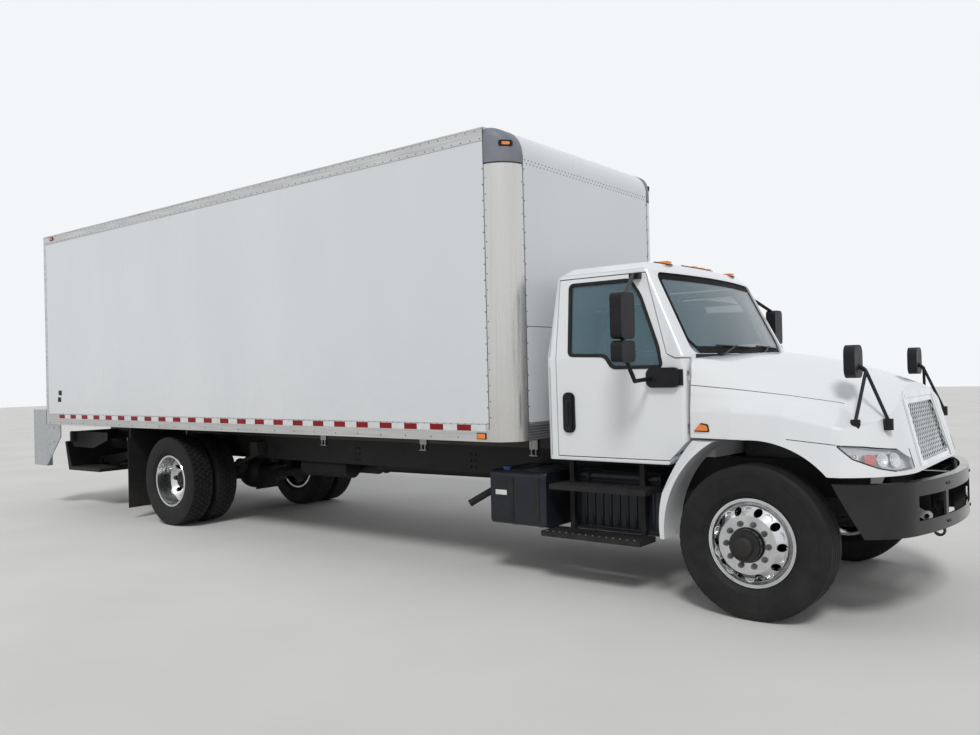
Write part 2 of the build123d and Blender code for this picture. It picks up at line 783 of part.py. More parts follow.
with BuildPart() as door_left:
    add(mirror(door_right.part, about=Plane.XZ, mode=Mode.PRIVATE))
save(door_left.part, "door_left")

with BuildPart() as door_glass_right:
    add(glass_skin.part)
    add(side_prism(window_outline, -seat_clearance, 700, 25.0), mode=Mode.INTERSECT)
save(door_glass_right.part, "door_glass_right")
with BuildPart() as door_glass_left:
    add(mirror(door_glass_right.part, about=Plane.XZ, mode=Mode.PRIVATE))
save(door_glass_left.part, "door_glass_left")

# Hood: sections from the cab forward, trimmed by the nose's plan
# station from the front axle, crown height, shoulder, crease, fender edge, half width at the bottom
hood_sections = (
    (-486.0, 1800.0, 1010.0, 1763.0, 1060.0, 1575.0, 1070.0, 1385.0, 1072.0),
    (-150.0, 1797.0, 905.0, 1695.0, 1012.0, 1538.0, 1115.0, 1388.0, 1150.0),
    (200.0, 1742.0, 790.0, 1625.0, 955.0, 1492.0, 1140.0, 1372.0, 1186.0),
    (520.0, 1652.0, 670.0, 1548.0, 880.0, 1440.0, 1135.0, 1302.0, 1190.0),
    (840.0, 1532.0, 520.0, 1462.0, 790.0, 1352.0, 1085.0, 1222.0, 1172.0),
    (1080.0, 1420.0, 400.0, 1385.0, 700.0, 1280.0, 1030.0, 1150.0, 1130.0),
)
hood_bottom_z = 984.0
hood_wall = 14.0
hood_gap = 14.0
arch_radius = 682.0
arch_flat_z = 1200.0
# height, front of the nose, half width of its flat front, where the side of the plan ends
nose_sections = (
    (940.0, 930.0, 640.0, 855.0, 925.0, 480.0, 1215.0),
    (1600.0, 762.0, 560.0, 700.0, 860.0, 340.0, 1215.0),
)


def hood_body(inset):
    """The hood's outer form drawn in by an inset, as a closed solid."""
    with BuildPart() as body:
        for x, crown, y1, z1, y2, z2, y3, z3, y4 in hood_sections:
            with BuildSketch(Plane.YZ.offset(ahead(x))) as section:
                with BuildLine():
                    ThreePointArc((-y1 + inset, z1 - inset), (0, crown - inset), (y1 - inset, z1 - inset))
                    Polyline(
                        (y1 - inset, z1 - inset),
                        (y2 - inset, z2 - inset),
                        (y3 - inset, z3 - inset),
                        (y4 - inset, hood_bottom_z - 60),
                        (-y4 + inset, hood_bottom_z - 60),
                        (-y3 + inset, z3 - inset),
                        (-y2 + inset, z2 - inset),
                        (-y1 + inset, z1 - inset),
                    )
                make_face()
                levels = section.vertices().group_by(Axis.Y)
                fillet(levels[1] + levels[3], radius=38 - inset)
        loft(ruled=True)
    return body.part


def nose_body(inset):
    """The nose's plan from bottom to top, drawn in by an inset at the front and sides."""
    with BuildPart() as body:
        for height, front, flat, mid_x, mid_y, end_x, end_y in nose_sections:
            with BuildSketch(Plane.XY.offset(height)):
                with BuildLine():
                    Line((ahead(front - inset), -flat), (ahead(front - inset), flat))
                    ThreePointArc(
                        (ahead(front - inset), flat),
                        (ahead(mid_x - inset), mid_y - inset),
                        (ahead(end_x - inset), end_y - inset),
                    )
                    Polyline(
                        (ahead(end_x - inset), end_y - inset),
                        (ahead(-700.0), end_y - inset),
                        (ahead(-700.0), -end_y + inset),
                        (ahead(end_x - inset), -end_y + inset),
                    )
                    ThreePointArc(
                        (ahead(end_x - inset), -end_y + inset),
                        (ahead(mid_x - inset), -mid_y + inset),
                        (ahead(front - inset), -flat),
                    )
                make_face()
        loft(ruled=True)
    return body.part


def hood_solid(inset):
    """The hood with its nose shaped, as a closed solid."""
    with BuildPart() as body:
        add(hood_body(inset))
        add(nose_body(inset), mode=Mode.INTERSECT)
    return body.part


hood_outer = hood_solid(0.0)
hood_inner = hood_solid(hood_wall)
nose_outer = nose_body(0.0)

lamp_outline = (
    (548.0, 1184.0),
    (690.0, 1172.0),
    (840.0, 1145.0),
    (905.0, 1060.0),
    (918.0, 1012.0),
    (850.0, 1008.0),
    (770.0, 1034.0),
    (640.0, 1096.0),
)
lamp_depth = 34.0
lamp_inner_y = 690.0
grille_rows = ((1002.0, 468.0), (1452.0, 415.0))
grille_span = (ahead(600.0), ahead(1000.0))

# Hood hinges: hooked arms under the nose that turn on pins at the bumper's arms.
# The hook goes round behind the bumper's upper lip when the hood is tilted.
tilt_x = ahead(934.0)
tilt_z = 680.0
tilt_pin_radius = 14.0
tilt_boss_radius = 32.0
hook_y = (480.0, 495.0)
hook_outline = (
    (919.0, 712.0),
    (700.0, 830.0),
    (660.0, 880.0),
    (700.0, 985.0),
    (903.0, 1015.0),
    (892.0, 1068.0),
    (670.0, 1045.0),
    (590.0, 960.0),
    (585.0, 870.0),
    (640.0, 790.0),
    (919.0, 652.0),
)

with BuildPart() as hood:
    add(hood_outer)
    add(hood_inner, mode=Mode.SUBTRACT)
    block((ahead(-800.0), ahead(1300.0)), (-1300, 1300), (800, hood_bottom_z), mode=Mode.SUBTRACT)
    block((ahead(-800.0), front_axle_x), (-1300, 1300), (800, arch_flat_z), mode=Mode.SUBTRACT)
    round_bar("y", (front_axle_x, 0, axle_z), arch_radius, 2600, mode=Mode.SUBTRACT)
    with BuildSketch(Plane.XY.offset(900)) as cowl:
        with BuildLine():
            cowl_front = ThreePointArc(
                (cab_front_x + hood_gap - 4, -1200),
                (cab_front_x + cab_sections[0][4] + hood_gap + 20, 0),
                (cab_front_x + hood_gap - 4, 1200),
            )
            Polyline(
                cowl_front @ 1,
                (cab_front_x - 400, 1200),
                (cab_front_x - 400, -1200),
                cowl_front @ 0,
            )
        make_face()
    extrude(amount=1200, mode=Mode.SUBTRACT)
    lamp_cut = side_prism(lamp_outline, 0.0, lamp_inner_y)
    add(lamp_cut, mode=Mode.SUBTRACT)
    add(mirror(lamp_cut, about=Plane.XZ, mode=Mode.PRIVATE), mode=Mode.SUBTRACT)
    add(cross_prism(grille_rows, 0.0, *grille_span, 45.0), mode=Mode.SUBTRACT)
    with BuildPart(mode=Mode.PRIVATE) as hood_hook:
        add(side_slab(hook_outline, *hook_y))
        hook_middle = (tilt_x, -sum(hook_y) / 2, tilt_z)
        round_bar("y", hook_middle, tilt_boss_radius, hook_y[1] - hook_y[0])
        round_bar("y", hook_middle, tilt_pin_radius + pin_clearance, 60, mode=Mode.SUBTRACT)
    add(hood_hook.part)
    add(mirror(hood_hook.part, about=Plane.XZ, mode=Mode.PRIVATE))
save(hood.part, "hood")
print("hood", hood.part.volume, len(hood.part.solids()))

with BuildPart() as headlamps:
    add(hood_outer)
    add(hood_solid(lamp_depth), mode=Mode.SUBTRACT)
    add(side_prism(lamp_outline, -seat_clearance, lamp_inner_y + seat_clearance), mode=Mode.INTERSECT)
    mirror(about=Plane.XZ)
save(headlamps.part, "headlamps")

# Grille: a frame in the hood's opening, and a crossed lattice that leans with the nose
grille_frame_width = 34.0
lattice_pitch = 58.0
lattice_bar = 10.0
lattice_count = 11
with BuildPart() as grille_ring:
    add(cross_prism(grille_rows, -seat_clearance, *grille_span, 45.0))
    add(cross_prism(grille_rows, -grille_frame_width, *grille_span, 25.0), mode=Mode.SUBTRACT)
    add(nose_outer, mode=Mode.INTERSECT)
    add(nose_body(46.0), mode=Mode.SUBTRACT)

with BuildPart() as grille:
    with BuildSketch(Plane.YZ.offset(grille_span[0])):
        with Locations((0, sum(row[0] for row in grille_rows) / 2)):
            for slant in (-45, 45):
                for index in range(-lattice_count, lattice_count + 1):
                    with Locations((index * lattice_pitch, 0)):
                        Rectangle(lattice_bar, 800, rotation=slant)
    extrude(amount=grille_span[1] - grille_span[0])
    add(cross_prism(grille_rows, -grille_frame_width + 4, *grille_span, 25.0), mode=Mode.INTERSECT)
    add(nose_body(14.0), mode=Mode.INTERSECT)
    add(nose_body(28.0), mode=Mode.SUBTRACT)
    add(grille_ring.part)
save(grille.part, "grille")
print("grille", len(grille.part.solids()))

# Bumper: swept steel channel with three openings, on two arms from the rails
bumper_z = (600.0, 942.0)
bumper_wall = 14.0
bumper_lip = 58.0
bumper_corner = (950.0, 800.0)
bumper_bend = (838.0, 1010.0)
bumper_end = (560.0, 1172.0)
# height and setback of the slanted end, at the top and at the bottom
bumper_end_cut = ((1000.0, 480.0), (942.0, 522.0), (600.0, 700.0), (560.0, 715.0))
bumper_opening_z = (690.0, 848.0)
bumper_centre_half = 395.0
bumper_side_y = (435.0, 800.0)
bumper_arm_y = (365.0, rail_inner_y - seat_clearance)
bumper_arm_x = ahead(crossmember_stations[0]) + crossmember_width / 2 + seat_clearance
bumper_arm_z = (780.0, 880.0)
tow_eye_radius = 22.0
tow_eye_x = ahead(985.0)
tow_plate = 25.0
tow_boss_radius = 38.0
# the pin passes under the bumper
tow_eye_z = bumper_z[0] - tow_eye_radius - moving_gap


def bumper_plan(inset):
    """The bumper's plan, filled in behind, drawn in by an inset."""
    with BuildSketch(mode=Mode.PRIVATE) as plan:
        with BuildLine():
            ThreePointArc(
                (ahead(bumper_corner[0]), -bumper_corner[1]),
                (ahead(nose_reach), 0),
                (ahead(bumper_corner[0]), bumper_corner[1]),
            )
            for side in (-1, 1):
                ThreePointArc(
                    (ahead(bumper_corner[0]), side * bumper_corner[1]),
                    (ahead(bumper_bend[0]), side * bumper_bend[1]),
                    (ahead(bumper_end[0]), side * bumper_end[1]),
                )
                Line(
                    (ahead(bumper_end[0]), side * bumper_end[1]),
                    (ahead(bumper_end[0] - 200), side * bumper_end[1]),
                )
            Line(
                (ahead(bumper_end[0] - 200), -bumper_end[1]),
                (ahead(bumper_end[0] - 200), bumper_end[1]),
            )
        make_face()
        if inset > 0:
            offset(amount=-inset, mode=Mode.REPLACE)
    return plan.sketch


with BuildPart() as bumper:
    with BuildSketch(Plane.XY.offset(bumper_z[0])):
        add(bumper_plan(0.0))
        add(bumper_plan(bumper_wall), mode=Mode.SUBTRACT)
    extrude(amount=bumper_z[1] - bumper_z[0])
    for lip_z in (bumper_z[0], bumper_z[1] - bumper_wall):
        with BuildSketch(Plane.XY.offset(lip_z)):
            add(bumper_plan(0.0))
            add(bumper_plan(bumper_lip), mode=Mode.SUBTRACT)
        extrude(amount=bumper_wall)
    with BuildSketch(Plane.XZ.offset(-1300)):
        with BuildLine():
            behind = [(ahead(200), 560), (ahead(200), 1000)]
            Polyline([(ahead(x), z) for z, x in bumper_end_cut] + behind, close=True)
        make_face()
    extrude(amount=2600, mode=Mode.SUBTRACT)
    bumper_cut_x = (ahead(700.0), ahead(nose_reach + 50))
    block(bumper_cut_x, (-bumper_centre_half, bumper_centre_half), bumper_opening_z, mode=Mode.SUBTRACT)
    for side in (-1, 1):
        side_opening = (side * bumper_side_y[0], side * bumper_side_y[1])
        block(bumper_cut_x, side_opening, bumper_opening_z, mode=Mode.SUBTRACT)
        arm = (side * bumper_arm_y[0], side * bumper_arm_y[1])
        block((bumper_arm_x, ahead(nose_reach - 40)), arm, bumper_arm_z)
        block((tilt_x - 32, tilt_x + 28), (arm[1] - side * 25, arm[1]), (tilt_z - 32, bumper_arm_z[0]))
        pin_span = (abs(arm[1]) - 20, hook_y[1] + 12)
        pin_middle = (tilt_x, side * sum(pin_span) / 2, tilt_z)
        round_bar("y", pin_middle, tilt_pin_radius, pin_span[1] - pin_span[0])
        plate_y = (arm[0], arm[0] + side * tow_plate)
        plate_x = (tow_eye_x - tow_boss_radius, tow_eye_x + tow_boss_radius)
        block(plate_x, plate_y, (tow_eye_z, bumper_arm_z[0]))
        eye_middle = (tow_eye_x, sum(plate_y) / 2, tow_eye_z)
        round_bar("y", eye_middle, tow_boss_radius, tow_plate)
        round_bar("y", eye_middle, tow_eye_radius, tow_plate + 10, mode=Mode.SUBTRACT)
save(bumper.part, "bumper")
print("bumper", len(bumper.part.solids()))

# Splash guards behind the front wheels
guard_y = (900.0, 1190.0)
guard_rib_y = (940.0, 970.0)
guard_rib = ((-510.0, 1167.3), (-640.0, 1002.6), (-600.0, 940.0), (-560.0, 940.0), (-450.0, 1120.0))
# the guard's outer face flares out from the door's lower front edge
flare_origin = (ahead(-505.0), -1066.0, 1180.0)
flare_normal = Vector(-0.785 * 0.707, -0.707, 0.62 * 0.707)
with BuildPart() as fender_extensions:
    with BuildSketch(Plane.XZ.offset(guard_y[0])):
        with BuildLine():
            Line((ahead(-255.0), 1184.0), (ahead(-430.0), 1184.0))
            ThreePointArc((ahead(-430.0), 1184.0), (ahead(-598.0), 932.0), (ahead(-664.0), 481.0))
            Line((ahead(-664.0), 481.0), (ahead(-632.0), 481.0))
            ThreePointArc((ahead(-632.0), 481.0), (ahead(-548.0), 880.0), (ahead(-255.0), 1184.0))
        make_face()
    extrude(amount=guard_y[1] - guard_y[0])
    with Locations(Plane(origin=flare_origin, z_dir=flare_normal).location):
        Box(1500, 1500, 300, align=(Align.CENTER, Align.CENTER, Align.MIN), mode=Mode.SUBTRACT)
    add(side_slab(guard_rib, *guard_rib_y))
    mirror(about=Plane.XZ)
save(fender_extensions.part, "fender_extensions")

# Hood mirrors: round heads on two-legged stays
mirror_head = (ahead(597.0), -888.0, 1712.0)
mirror_apex = (ahead(668.0), -862.0, 1650.0)
mirror_feet = ((ahead(640.0), -1030.0, 1330.0), (ahead(800.0), -880.0, 1330.0))
with BuildPart() as hood_mirror_form:
    with Locations(mirror_head):
        Box(70, 190, 215)
    fillet(hood_mirror_form.edges().filter_by(Axis.X), radius=60)
    strut(mirror_head, mirror_apex, 14)
    for foot in mirror_feet:
        strut(mirror_apex, foot, 11)
        strut((foot[0], foot[1], foot[2] - 60), (foot[0], foot[1], foot[2] + 12), 30)
    add(hood_outer, mode=Mode.SUBTRACT)
with BuildPart() as hood_mirrors:
    add(hood_mirror_form.part.solids().sort_by(Axis.Z)[-1])
    mirror(about=Plane.XZ)
save(hood_mirrors.part, "hood_mirrors")
print("hood mirrors", len(hood_mirrors.part.solids()))

# Door mirrors with their arms, and the door handle as a separate solid
mirror_x = ahead(-760.0)
mirror_y = 1487.0
mirror_width = 190.0
mirror_depth = 90.0
# height range of each head
mirror_heads = ((1908.0, 2230.0), (1744.0, 1896.0))
mirror_base_z = (1572.0, 1688.0)
# the base seen from above, tapered so that it passes the hood as the door opens
mirror_base = (
    (ahead(-772.0), -1040.0),
    (ahead(-772.0), -1108.0),
    (ahead(-600.0), -1108.0),
    (ahead(-512.0), -1082.0),
    (ahead(-512.0), -1040.0),
)
lower_arm = (
    (mirror_x + 5, -1090.0, 1625.0),
    (mirror_x, -1330.0, 1610.0),
    (mirror_x, -mirror_y + 40, 1760.0),
)
upper_arm = (
    (ahead(-905.0), -950.0, 2398.0),
    (ahead(-905.0), -1050.0, 2398.0),
    (mirror_x, -mirror_y + 40, 2215.0),
)
handle_x = (ahead(-1517.0), ahead(-1448.0))
handle_z = (1229.0, 1508.0)
with BuildPart() as door_mirror_right:
    for low_z, high_z in mirror_heads:
        block(
            (mirror_x - mirror_depth / 2, mirror_x + mirror_depth / 2),
            (-mirror_y - mirror_width / 2, -mirror_y + mirror_width / 2),
            (low_z, high_z),
        )
    fillet(door_mirror_right.edges().filter_by(Axis.X), radius=40)
    block(
        (mirror_x - 12, mirror_x + 12),
        (-mirror_y - 12, -mirror_y + 12),
        (mirror_heads[1][1] - 10, mirror_heads[0][0] + 10),
    )
    with BuildSketch(Plane.XY.offset(mirror_base_z[0])):
        with BuildLine():
            Polyline(mirror_base, close=True)
        make_face()
    extrude(amount=mirror_base_z[1] - mirror_base_z[0])
    for arm in (lower_arm, upper_arm):
        strut(arm[0], arm[1], 15)
        strut(arm[1], arm[2], 15)
        with Locations(arm[1]):
            Sphere(15)
    block((ahead(-945.0), ahead(-865.0)), (-1045.0, -940.0), (2370.0, 2412.0))
    block(handle_x, (-1102.0, -1040.0), handle_z)
    fillet(door_mirror_right.edges().filter_by(Axis.Y).group_by(Axis.X)[0], radius=32)
    add(cab_outer, mode=Mode.SUBTRACT)
save(door_mirror_right.part, "door_mirror_right")
print("door mirror", len(door_mirror_right.part.solids()))
with BuildPart() as door_mirror_left:
    add(mirror(door_mirror_right.part, about=Plane.XZ, mode=Mode.PRIVATE))
save(door_mirror_left.part, "door_mirror_left")

# Cab interior: dashboard, seats and the steering wheel on its column
dash_outline = (
    (-380.0, 1400.0),
    (-380.0, 1765.0),
    (-640.0, 1765.0),
    (-770.0, 1700.0),
    (-770.0, 1560.0),
    (-660.0, 1400.0),
)
with BuildPart() as dashboard:
    with BuildSketch(Plane.XZ.offset(-960)):
        with BuildLine():
            Polyline([(ahead(x), z) for x, z in dash_outline], close=True)
        make_face()
    extrude(amount=1920)
    add(cab_inner, mode=Mode.INTERSECT)
save(dashboard.part, "dashboard")

seat_y = 480.0
seat_width = 500.0
seat_front_x = ahead(-930.0)
seat_back_x = ahead(-1470.0)
# cushion and back in one outline seen from the side
seat_outline = (
    (-930.0, 1370.0),
    (-930.0, 1500.0),
    (-1330.0, 1475.0),
    (-1400.0, 2060.0),
    (-1480.0, 2060.0),
    (-1450.0, 1370.0),
)
with BuildPart() as seats:
    add(side_slab(seat_outline, seat_y - seat_width / 2, seat_y + seat_width / 2, 30.0))
    block(
        (seat_back_x + 120, seat_front_x - 80),
        (-seat_y - 170, -seat_y + 170),
        (cab_floor_z[1], 1400.0),
    )
    block((ahead(-1475.0), ahead(-1395.0)), (-seat_y - 130, -seat_y + 130), (2040.0, 2200.0))
    mirror(about=Plane.XZ)
save(seats.part, "seats")

wheel_centre = (ahead(-890.0), seat_y, 1700.0)
wheel_tilt = Vector(-cos(radians(50)), 0, sin(radians(50)))
with BuildPart() as steering_wheel:
    with Locations(Plane(origin=wheel_centre, z_dir=wheel_tilt).location):
        Torus(220, 15)
        Cylinder(50, 40)
        for turn in (0, 120, 240):
            with Locations(Location((0, 0, 0), (0, 0, turn))):
                with Locations((110, 0, 0)):
                    Box(220, 30, 12)
    strut(wheel_centre, tuple(Vector(*wheel_centre) - wheel_tilt * 320), 32)
    add(dashboard.part, mode=Mode.SUBTRACT)
print("steering wheel", len(steering_wheel.part.solids()))
save(steering_wheel.part, "steering_wheel")

# Van body floor: deck, cross sills and the two long sills on the rails
deck_z = (box_rail_z[1] - floor_deck, box_rail_z[1])
sill_z = (box_rail_z[0], deck_z[0])
floor_front_x = box_front_x - box_wall
floor_rear_x = box_rear_x + rear_post_depth
panel_front_x = box_front_x - box_corner_radius
wall_half_width = box_half_width - box_corner_radius
sill_count = int((panel_front_x - floor_rear_x - floor_sill_width) // floor_sill_pitch) + 1
with BuildPart() as box_floor:
    block((floor_rear_x, panel_front_x), (-box_inner_y, box_inner_y), deck_z)
    block((panel_front_x, floor_front_x), (-wall_half_width, wall_half_width), (sill_z[0], deck_z[1]))
    for sill in range(sill_count):
        sill_x = panel_front_x - sill * floor_sill_pitch
        block(
            (sill_x - floor_sill_width, sill_x),
            (-box_half_width + box_rail_depth, box_half_width - box_rail_depth),
            sill_z,
        )
    for side in (-1, 1):
        block(
            (floor_rear_x, floor_front_x),
            (side * (rail_half_width - rail_flange), side * rail_half_width),
            (rail_top_z, sill_z[0]),
        )
save(box_floor.part, "box_floor")

# Side panels, between the bottom and the top rails
panel_rear_x = box_rear_x + rear_post_depth
top_rail_z = (box_edge_z - box_top_rail_height, box_edge_z)
with BuildPart() as box_side_panels:
    block((panel_rear_x, panel_front_x), (box_inner_y, box_half_width - 3), (box_rail_z[1], top_rail_z[0]))
    mirror(about=Plane.XZ)
save(box_side_panels.part, "box_side_panels")

with BuildPart() as box_rails:
    block(
        (panel_rear_x, panel_front_x),
        (box_half_width - box_rail_depth, box_half_width),
        (box_rail_z[0], sill_z[1]),
    )
    block(
        (panel_rear_x, panel_front_x),
        (box_inner_y, box_half_width),
        (sill_z[1], box_rail_z[1]),
    )
    block((panel_rear_x, panel_front_x), (box_inner_y, box_half_width), top_rail_z)
    mirror(about=Plane.XZ)
    block((floor_front_x, box_front_x), (-wall_half_width, wall_half_width), box_rail_z)
save(box_rails.part, "box_rails")

# Front wall, on the sill at the front of the rails
wall_top_z = box_edge_z - box_corner_radius
with BuildPart() as box_front_wall:
    block((floor_front_x, box_front_x), (-wall_half_width, wall_half_width), (box_rail_z[1], wall_top_z))
save(box_front_wall.part, "box_front_wall")

# Roof, a little crowned, with the rounded header over the front wall
roof_thickness = 25.0
with BuildPart() as box_roof:
    with BuildSketch(Plane.YZ.offset(panel_rear_x)):
        with BuildLine():
            crown = ThreePointArc((-box_inner_y, box_edge_z), (0, box_top_z), (box_inner_y, box_edge_z))
            Polyline(
                crown @ 1,
                (box_inner_y, box_edge_z - roof_thickness),
                (-box_inner_y, box_edge_z - roof_thickness),
                crown @ 0,
            )
        make_face()
    extrude(amount=panel_front_x - panel_rear_x)
    with BuildSketch(Plane.XZ.offset(-wall_half_width)):
        with Locations((panel_front_x, wall_top_z)):
            Circle(box_corner_radius)
            Circle(box_corner_radius - box_wall, mode=Mode.SUBTRACT)
            with Locations((box_corner_radius / 2, box_corner_radius / 2)):
                Rectangle(box_corner_radius, box_corner_radius, mode=Mode.INTERSECT)
    extrude(amount=2 * wall_half_width)
save(box_roof.part, "box_roof")
print("roof", len(box_roof.part.solids()))

# Corner posts and the dark corner caps above them
cap_bottom_z = box_edge_z - corner_cap_height
with BuildPart() as box_corner_posts:
    with BuildSketch(Plane.XY.offset(box_rail_z[0])):
        with Locations((panel_front_x, wall_half_width)):
            Circle(box_corner_radius)
            Circle(box_corner_radius - box_wall, mode=Mode.SUBTRACT)
            with Locations((box_corner_radius / 2, box_corner_radius / 2)):
                Rectangle(box_corner_radius, box_corner_radius, mode=Mode.INTERSECT)
    extrude(amount=cap_bottom_z - box_rail_z[0])
    mirror(about=Plane.XZ)
save(box_corner_posts.part, "box_corner_posts")

with BuildPart() as box_corner_caps:
    with BuildSketch(Plane.XY.offset(cap_bottom_z)):
        with Locations((panel_front_x, wall_half_width)):
            Circle(box_corner_radius)
            with Locations((box_corner_radius / 2, box_corner_radius / 2)):
                Rectangle(box_corner_radius, box_corner_radius, mode=Mode.INTERSECT)
    extrude(amount=wall_top_z - cap_bottom_z)
    with Locations((panel_front_x, wall_half_width, wall_top_z)):
        Sphere(box_corner_radius)
    block(
        (panel_front_x, box_front_x),
        (wall_half_width, box_half_width),
        (cap_bottom_z, box_edge_z),
        mode=Mode.INTERSECT,
    )
    with BuildSketch(Plane.XY.offset(cap_bottom_z)):
        with Locations((panel_front_x, wall_half_width)):
            Circle(box_corner_radius - box_wall)
    extrude(amount=wall_top_z - cap_bottom_z, mode=Mode.SUBTRACT)
    with Locations((panel_front_x, wall_half_width, wall_top_z)):
        Sphere(box_corner_radius - box_wall, mode=Mode.SUBTRACT)
    mirror(about=Plane.XZ)
save(box_corner_caps.part, "box_corner_caps")

# Rear frame and the roll-up door behind it
door_opening_half = box_half_width - rear_post_width
door_top_z = box_edge_z - rear_header_height
with BuildPart() as rear_frame:
    frame_x = (box_rear_x, box_rear_x + rear_post_depth)
    block(frame_x, (-box_half_width, box_half_width), (box_rail_z[0], box_edge_z))
    block(
        (box_rear_x - 10, box_rear_x + rear_post_depth + 10),
        (-door_opening_half, door_opening_half),
        (box_rail_z[1], door_top_z),
        mode=Mode.SUBTRACT,
    )
save(rear_frame.part, "rear_frame")

shutter_count = 9
shutter_x = (box_rear_x + 25, box_rear_x + 50)
shutter_height = (door_top_z - box_rail_z[1]) / shutter_count
with BuildPart() as roll_up_door:
    block(shutter_x, (-door_opening_half, door_opening_half), (box_rail_z[1], door_top_z))
    for seam in range(1, shutter_count):
        seam_z = box_rail_z[1] + seam * shutter_height
        block(
            (shutter_x[0] - 5, shutter_x[0] + 6),
            (-door_opening_half - 5, door_opening_half + 5),
            (seam_z - 6, seam_z + 6),
            mode=Mode.SUBTRACT,
        )
    block((shutter_x[0] - 15, shutter_x[0]), (-130, 130), (box_rail_z[1] + 60, box_rail_z[1] + 100))
save(roll_up_door.part, "roll_up_door")

# Mud flaps hung from a cross sill
flap_x = ahead(-7830.0)
with BuildPart() as mud_flaps:
    block((flap_x, flap_x + 10), (635, 1240), (140, rail_top_z))
    block((flap_x - 30, flap_x + 10), (rail_half_width, 1200), (rail_top_z - 60, sill_z[0]))
    mirror(about=Plane.XZ)
save(mud_flaps.part, "mud_flaps")

# Liftgate: posts at the sides, a main frame, and a folded platform on two lift arms
post_x = (box_rear_x - liftgate_depth, box_rear_x - 25)
post_outline_top = 1335.0
post_bottom = 565.0
post_y = (1215.0, 1290.0)
gusset_front_x = box_rear_x + 370
with BuildPart() as liftgate_posts:
    block(post_x, post_y, (post_bottom, post_outline_top))
    block(
        (post_x[0] - 5, post_x[1] - 14),
        (post_y[0] + 12, post_y[1] - 12),
        (post_bottom - 5, post_outline_top - 60),
        mode=Mode.SUBTRACT,
    )
    with BuildSketch(Plane.XZ.offset(-post_y[1])):
        with BuildLine():
            Polyline(
                (post_x[1] - 20, box_rail_z[0]),
                (gusset_front_x, box_rail_z[0]),
                (gusset_front_x, 970.0),
                (post_x[1], 580.0),
                (post_x[1] - 20, 580.0),
                close=True,
            )
        make_face()
    extrude(amount=14)
    mirror(about=Plane.XZ)
save(liftgate_posts.part, "liftgate_posts")

# Lift arms swing about a tube under the rails; X from the rear of the body
lift_pivot = (box_rear_x + 880.0, 690.0)
lift_tip = (box_rear_x + 160.0, 600.0)
lift_arm_y = (560.0, 610.0)
cheek_y = (515.0, 545.0)
pivot_tube_radius = 30.0
tip_pin_radius = 20.0
cylinder_y = 475.0
cylinder_foot = (lift_pivot[0] + 200.0, lift_pivot[1] - 60.0)
cylinder_eye = (lift_pivot[0] - 330.0, lift_pivot[1] - 105.0)
cylinder_pin_radius = 12.0
cylinder_radius = 30.0
rod_radius = 15.0
rod_eye_slack = 10.0
rod_eye_radius = 34.0
cheek_x = (lift_pivot[0] - 55, lift_pivot[0] + 245)
with BuildPart() as liftgate_frame:
    block(cheek_x, cheek_y, (590.0, box_rail_z[0]))
    block((cheek_x[0] + 60, cheek_x[1] - 60), (rail_half_width, cheek_y[0]), (850.0, 950.0))
    round_bar(
        "y",
        (cylinder_foot[0], (cylinder_y + cheek_y[0]) / 2, cylinder_foot[1]),
        cylinder_pin_radius,
        cheek_y[0] - cylinder_y + 50,
    )
    mirror(about=Plane.XZ)
    round_bar("y", (lift_pivot[0], 0, lift_pivot[1]), pivot_tube_radius, 2 * (lift_arm_y[1] + 12))
save(liftgate_frame.part, "liftgate_frame")

with BuildPart() as lift_arms:
    for centre, radius in ((lift_pivot, 55.0), (lift_tip, 42.0)):
        round_bar("y", (centre[0], sum(lift_arm_y) / 2, centre[1]), radius, lift_arm_y[1] - lift_arm_y[0])
    with BuildSketch(Plane.XZ.offset(-lift_arm_y[1])):
        with BuildLine():
            Polyline(
                (lift_pivot[0], lift_pivot[1] + 50),
                (lift_tip[0], lift_tip[1] + 38),
                (lift_tip[0], lift_tip[1] - 38),
                (cylinder_eye[0], cylinder_eye[1] - 30),
                (lift_pivot[0], lift_pivot[1] - 50),
                close=True,
            )
        make_face()
    extrude(amount=lift_arm_y[1] - lift_arm_y[0])
    round_bar(
        "y",
        (cylinder_eye[0], (cylinder_y + lift_arm_y[0]) / 2 - 12, cylinder_eye[1]),
        cylinder_pin_radius,
        lift_arm_y[0] - cylinder_y + 25,
    )
    for centre, radius in ((lift_pivot, pivot_tube_radius), (lift_tip, tip_pin_radius)):
        round_bar(
            "y",
            (centre[0], sum(lift_arm_y) / 2, centre[1]),
            radius + pin_clearance,
            lift_arm_y[1] - lift_arm_y[0] + 10,
            mode=Mode.SUBTRACT,
        )
    mirror(about=Plane.XZ)
save(lift_arms.part, "lift_arms")
print("lift arms", len(lift_arms.part.solids()))

# Lift cylinders: barrels on the frame, rods whose eyes ride on the arms' pins
cylinder_run = Vector(cylinder_eye[0] - cylinder_foot[0], 0, cylinder_eye[1] - cylinder_foot[1])
barrel_length = 290.0
barrel_bore_depth = 262.0
cylinder_way = cylinder_run.normalized()


def on_cylinder(distance):
    """A point on the right-hand cylinder's line, from its foot."""
    return (
        cylinder_foot[0] + cylinder_way.X * distance,
        -cylinder_y,
        cylinder_foot[1] + cylinder_way.Z * distance,
    )


with BuildPart() as lift_cylinders:
    round_bar("y", on_cylinder(0), 30, 44)
    strut(on_cylinder(15), on_cylinder(15 + barrel_length), cylinder_radius)
    round_bar("y", on_cylinder(0), cylinder_pin_radius + pin_clearance, 60, mode=Mode.SUBTRACT)
    strut(
        on_cylinder(15 + barrel_length - barrel_bore_depth),
        on_cylinder(20 + barrel_length),
        rod_radius + pin_clearance,
        mode=Mode.SUBTRACT,
    )
    mirror(about=Plane.XZ)
save(lift_cylinders.part, "lift_cylinders")

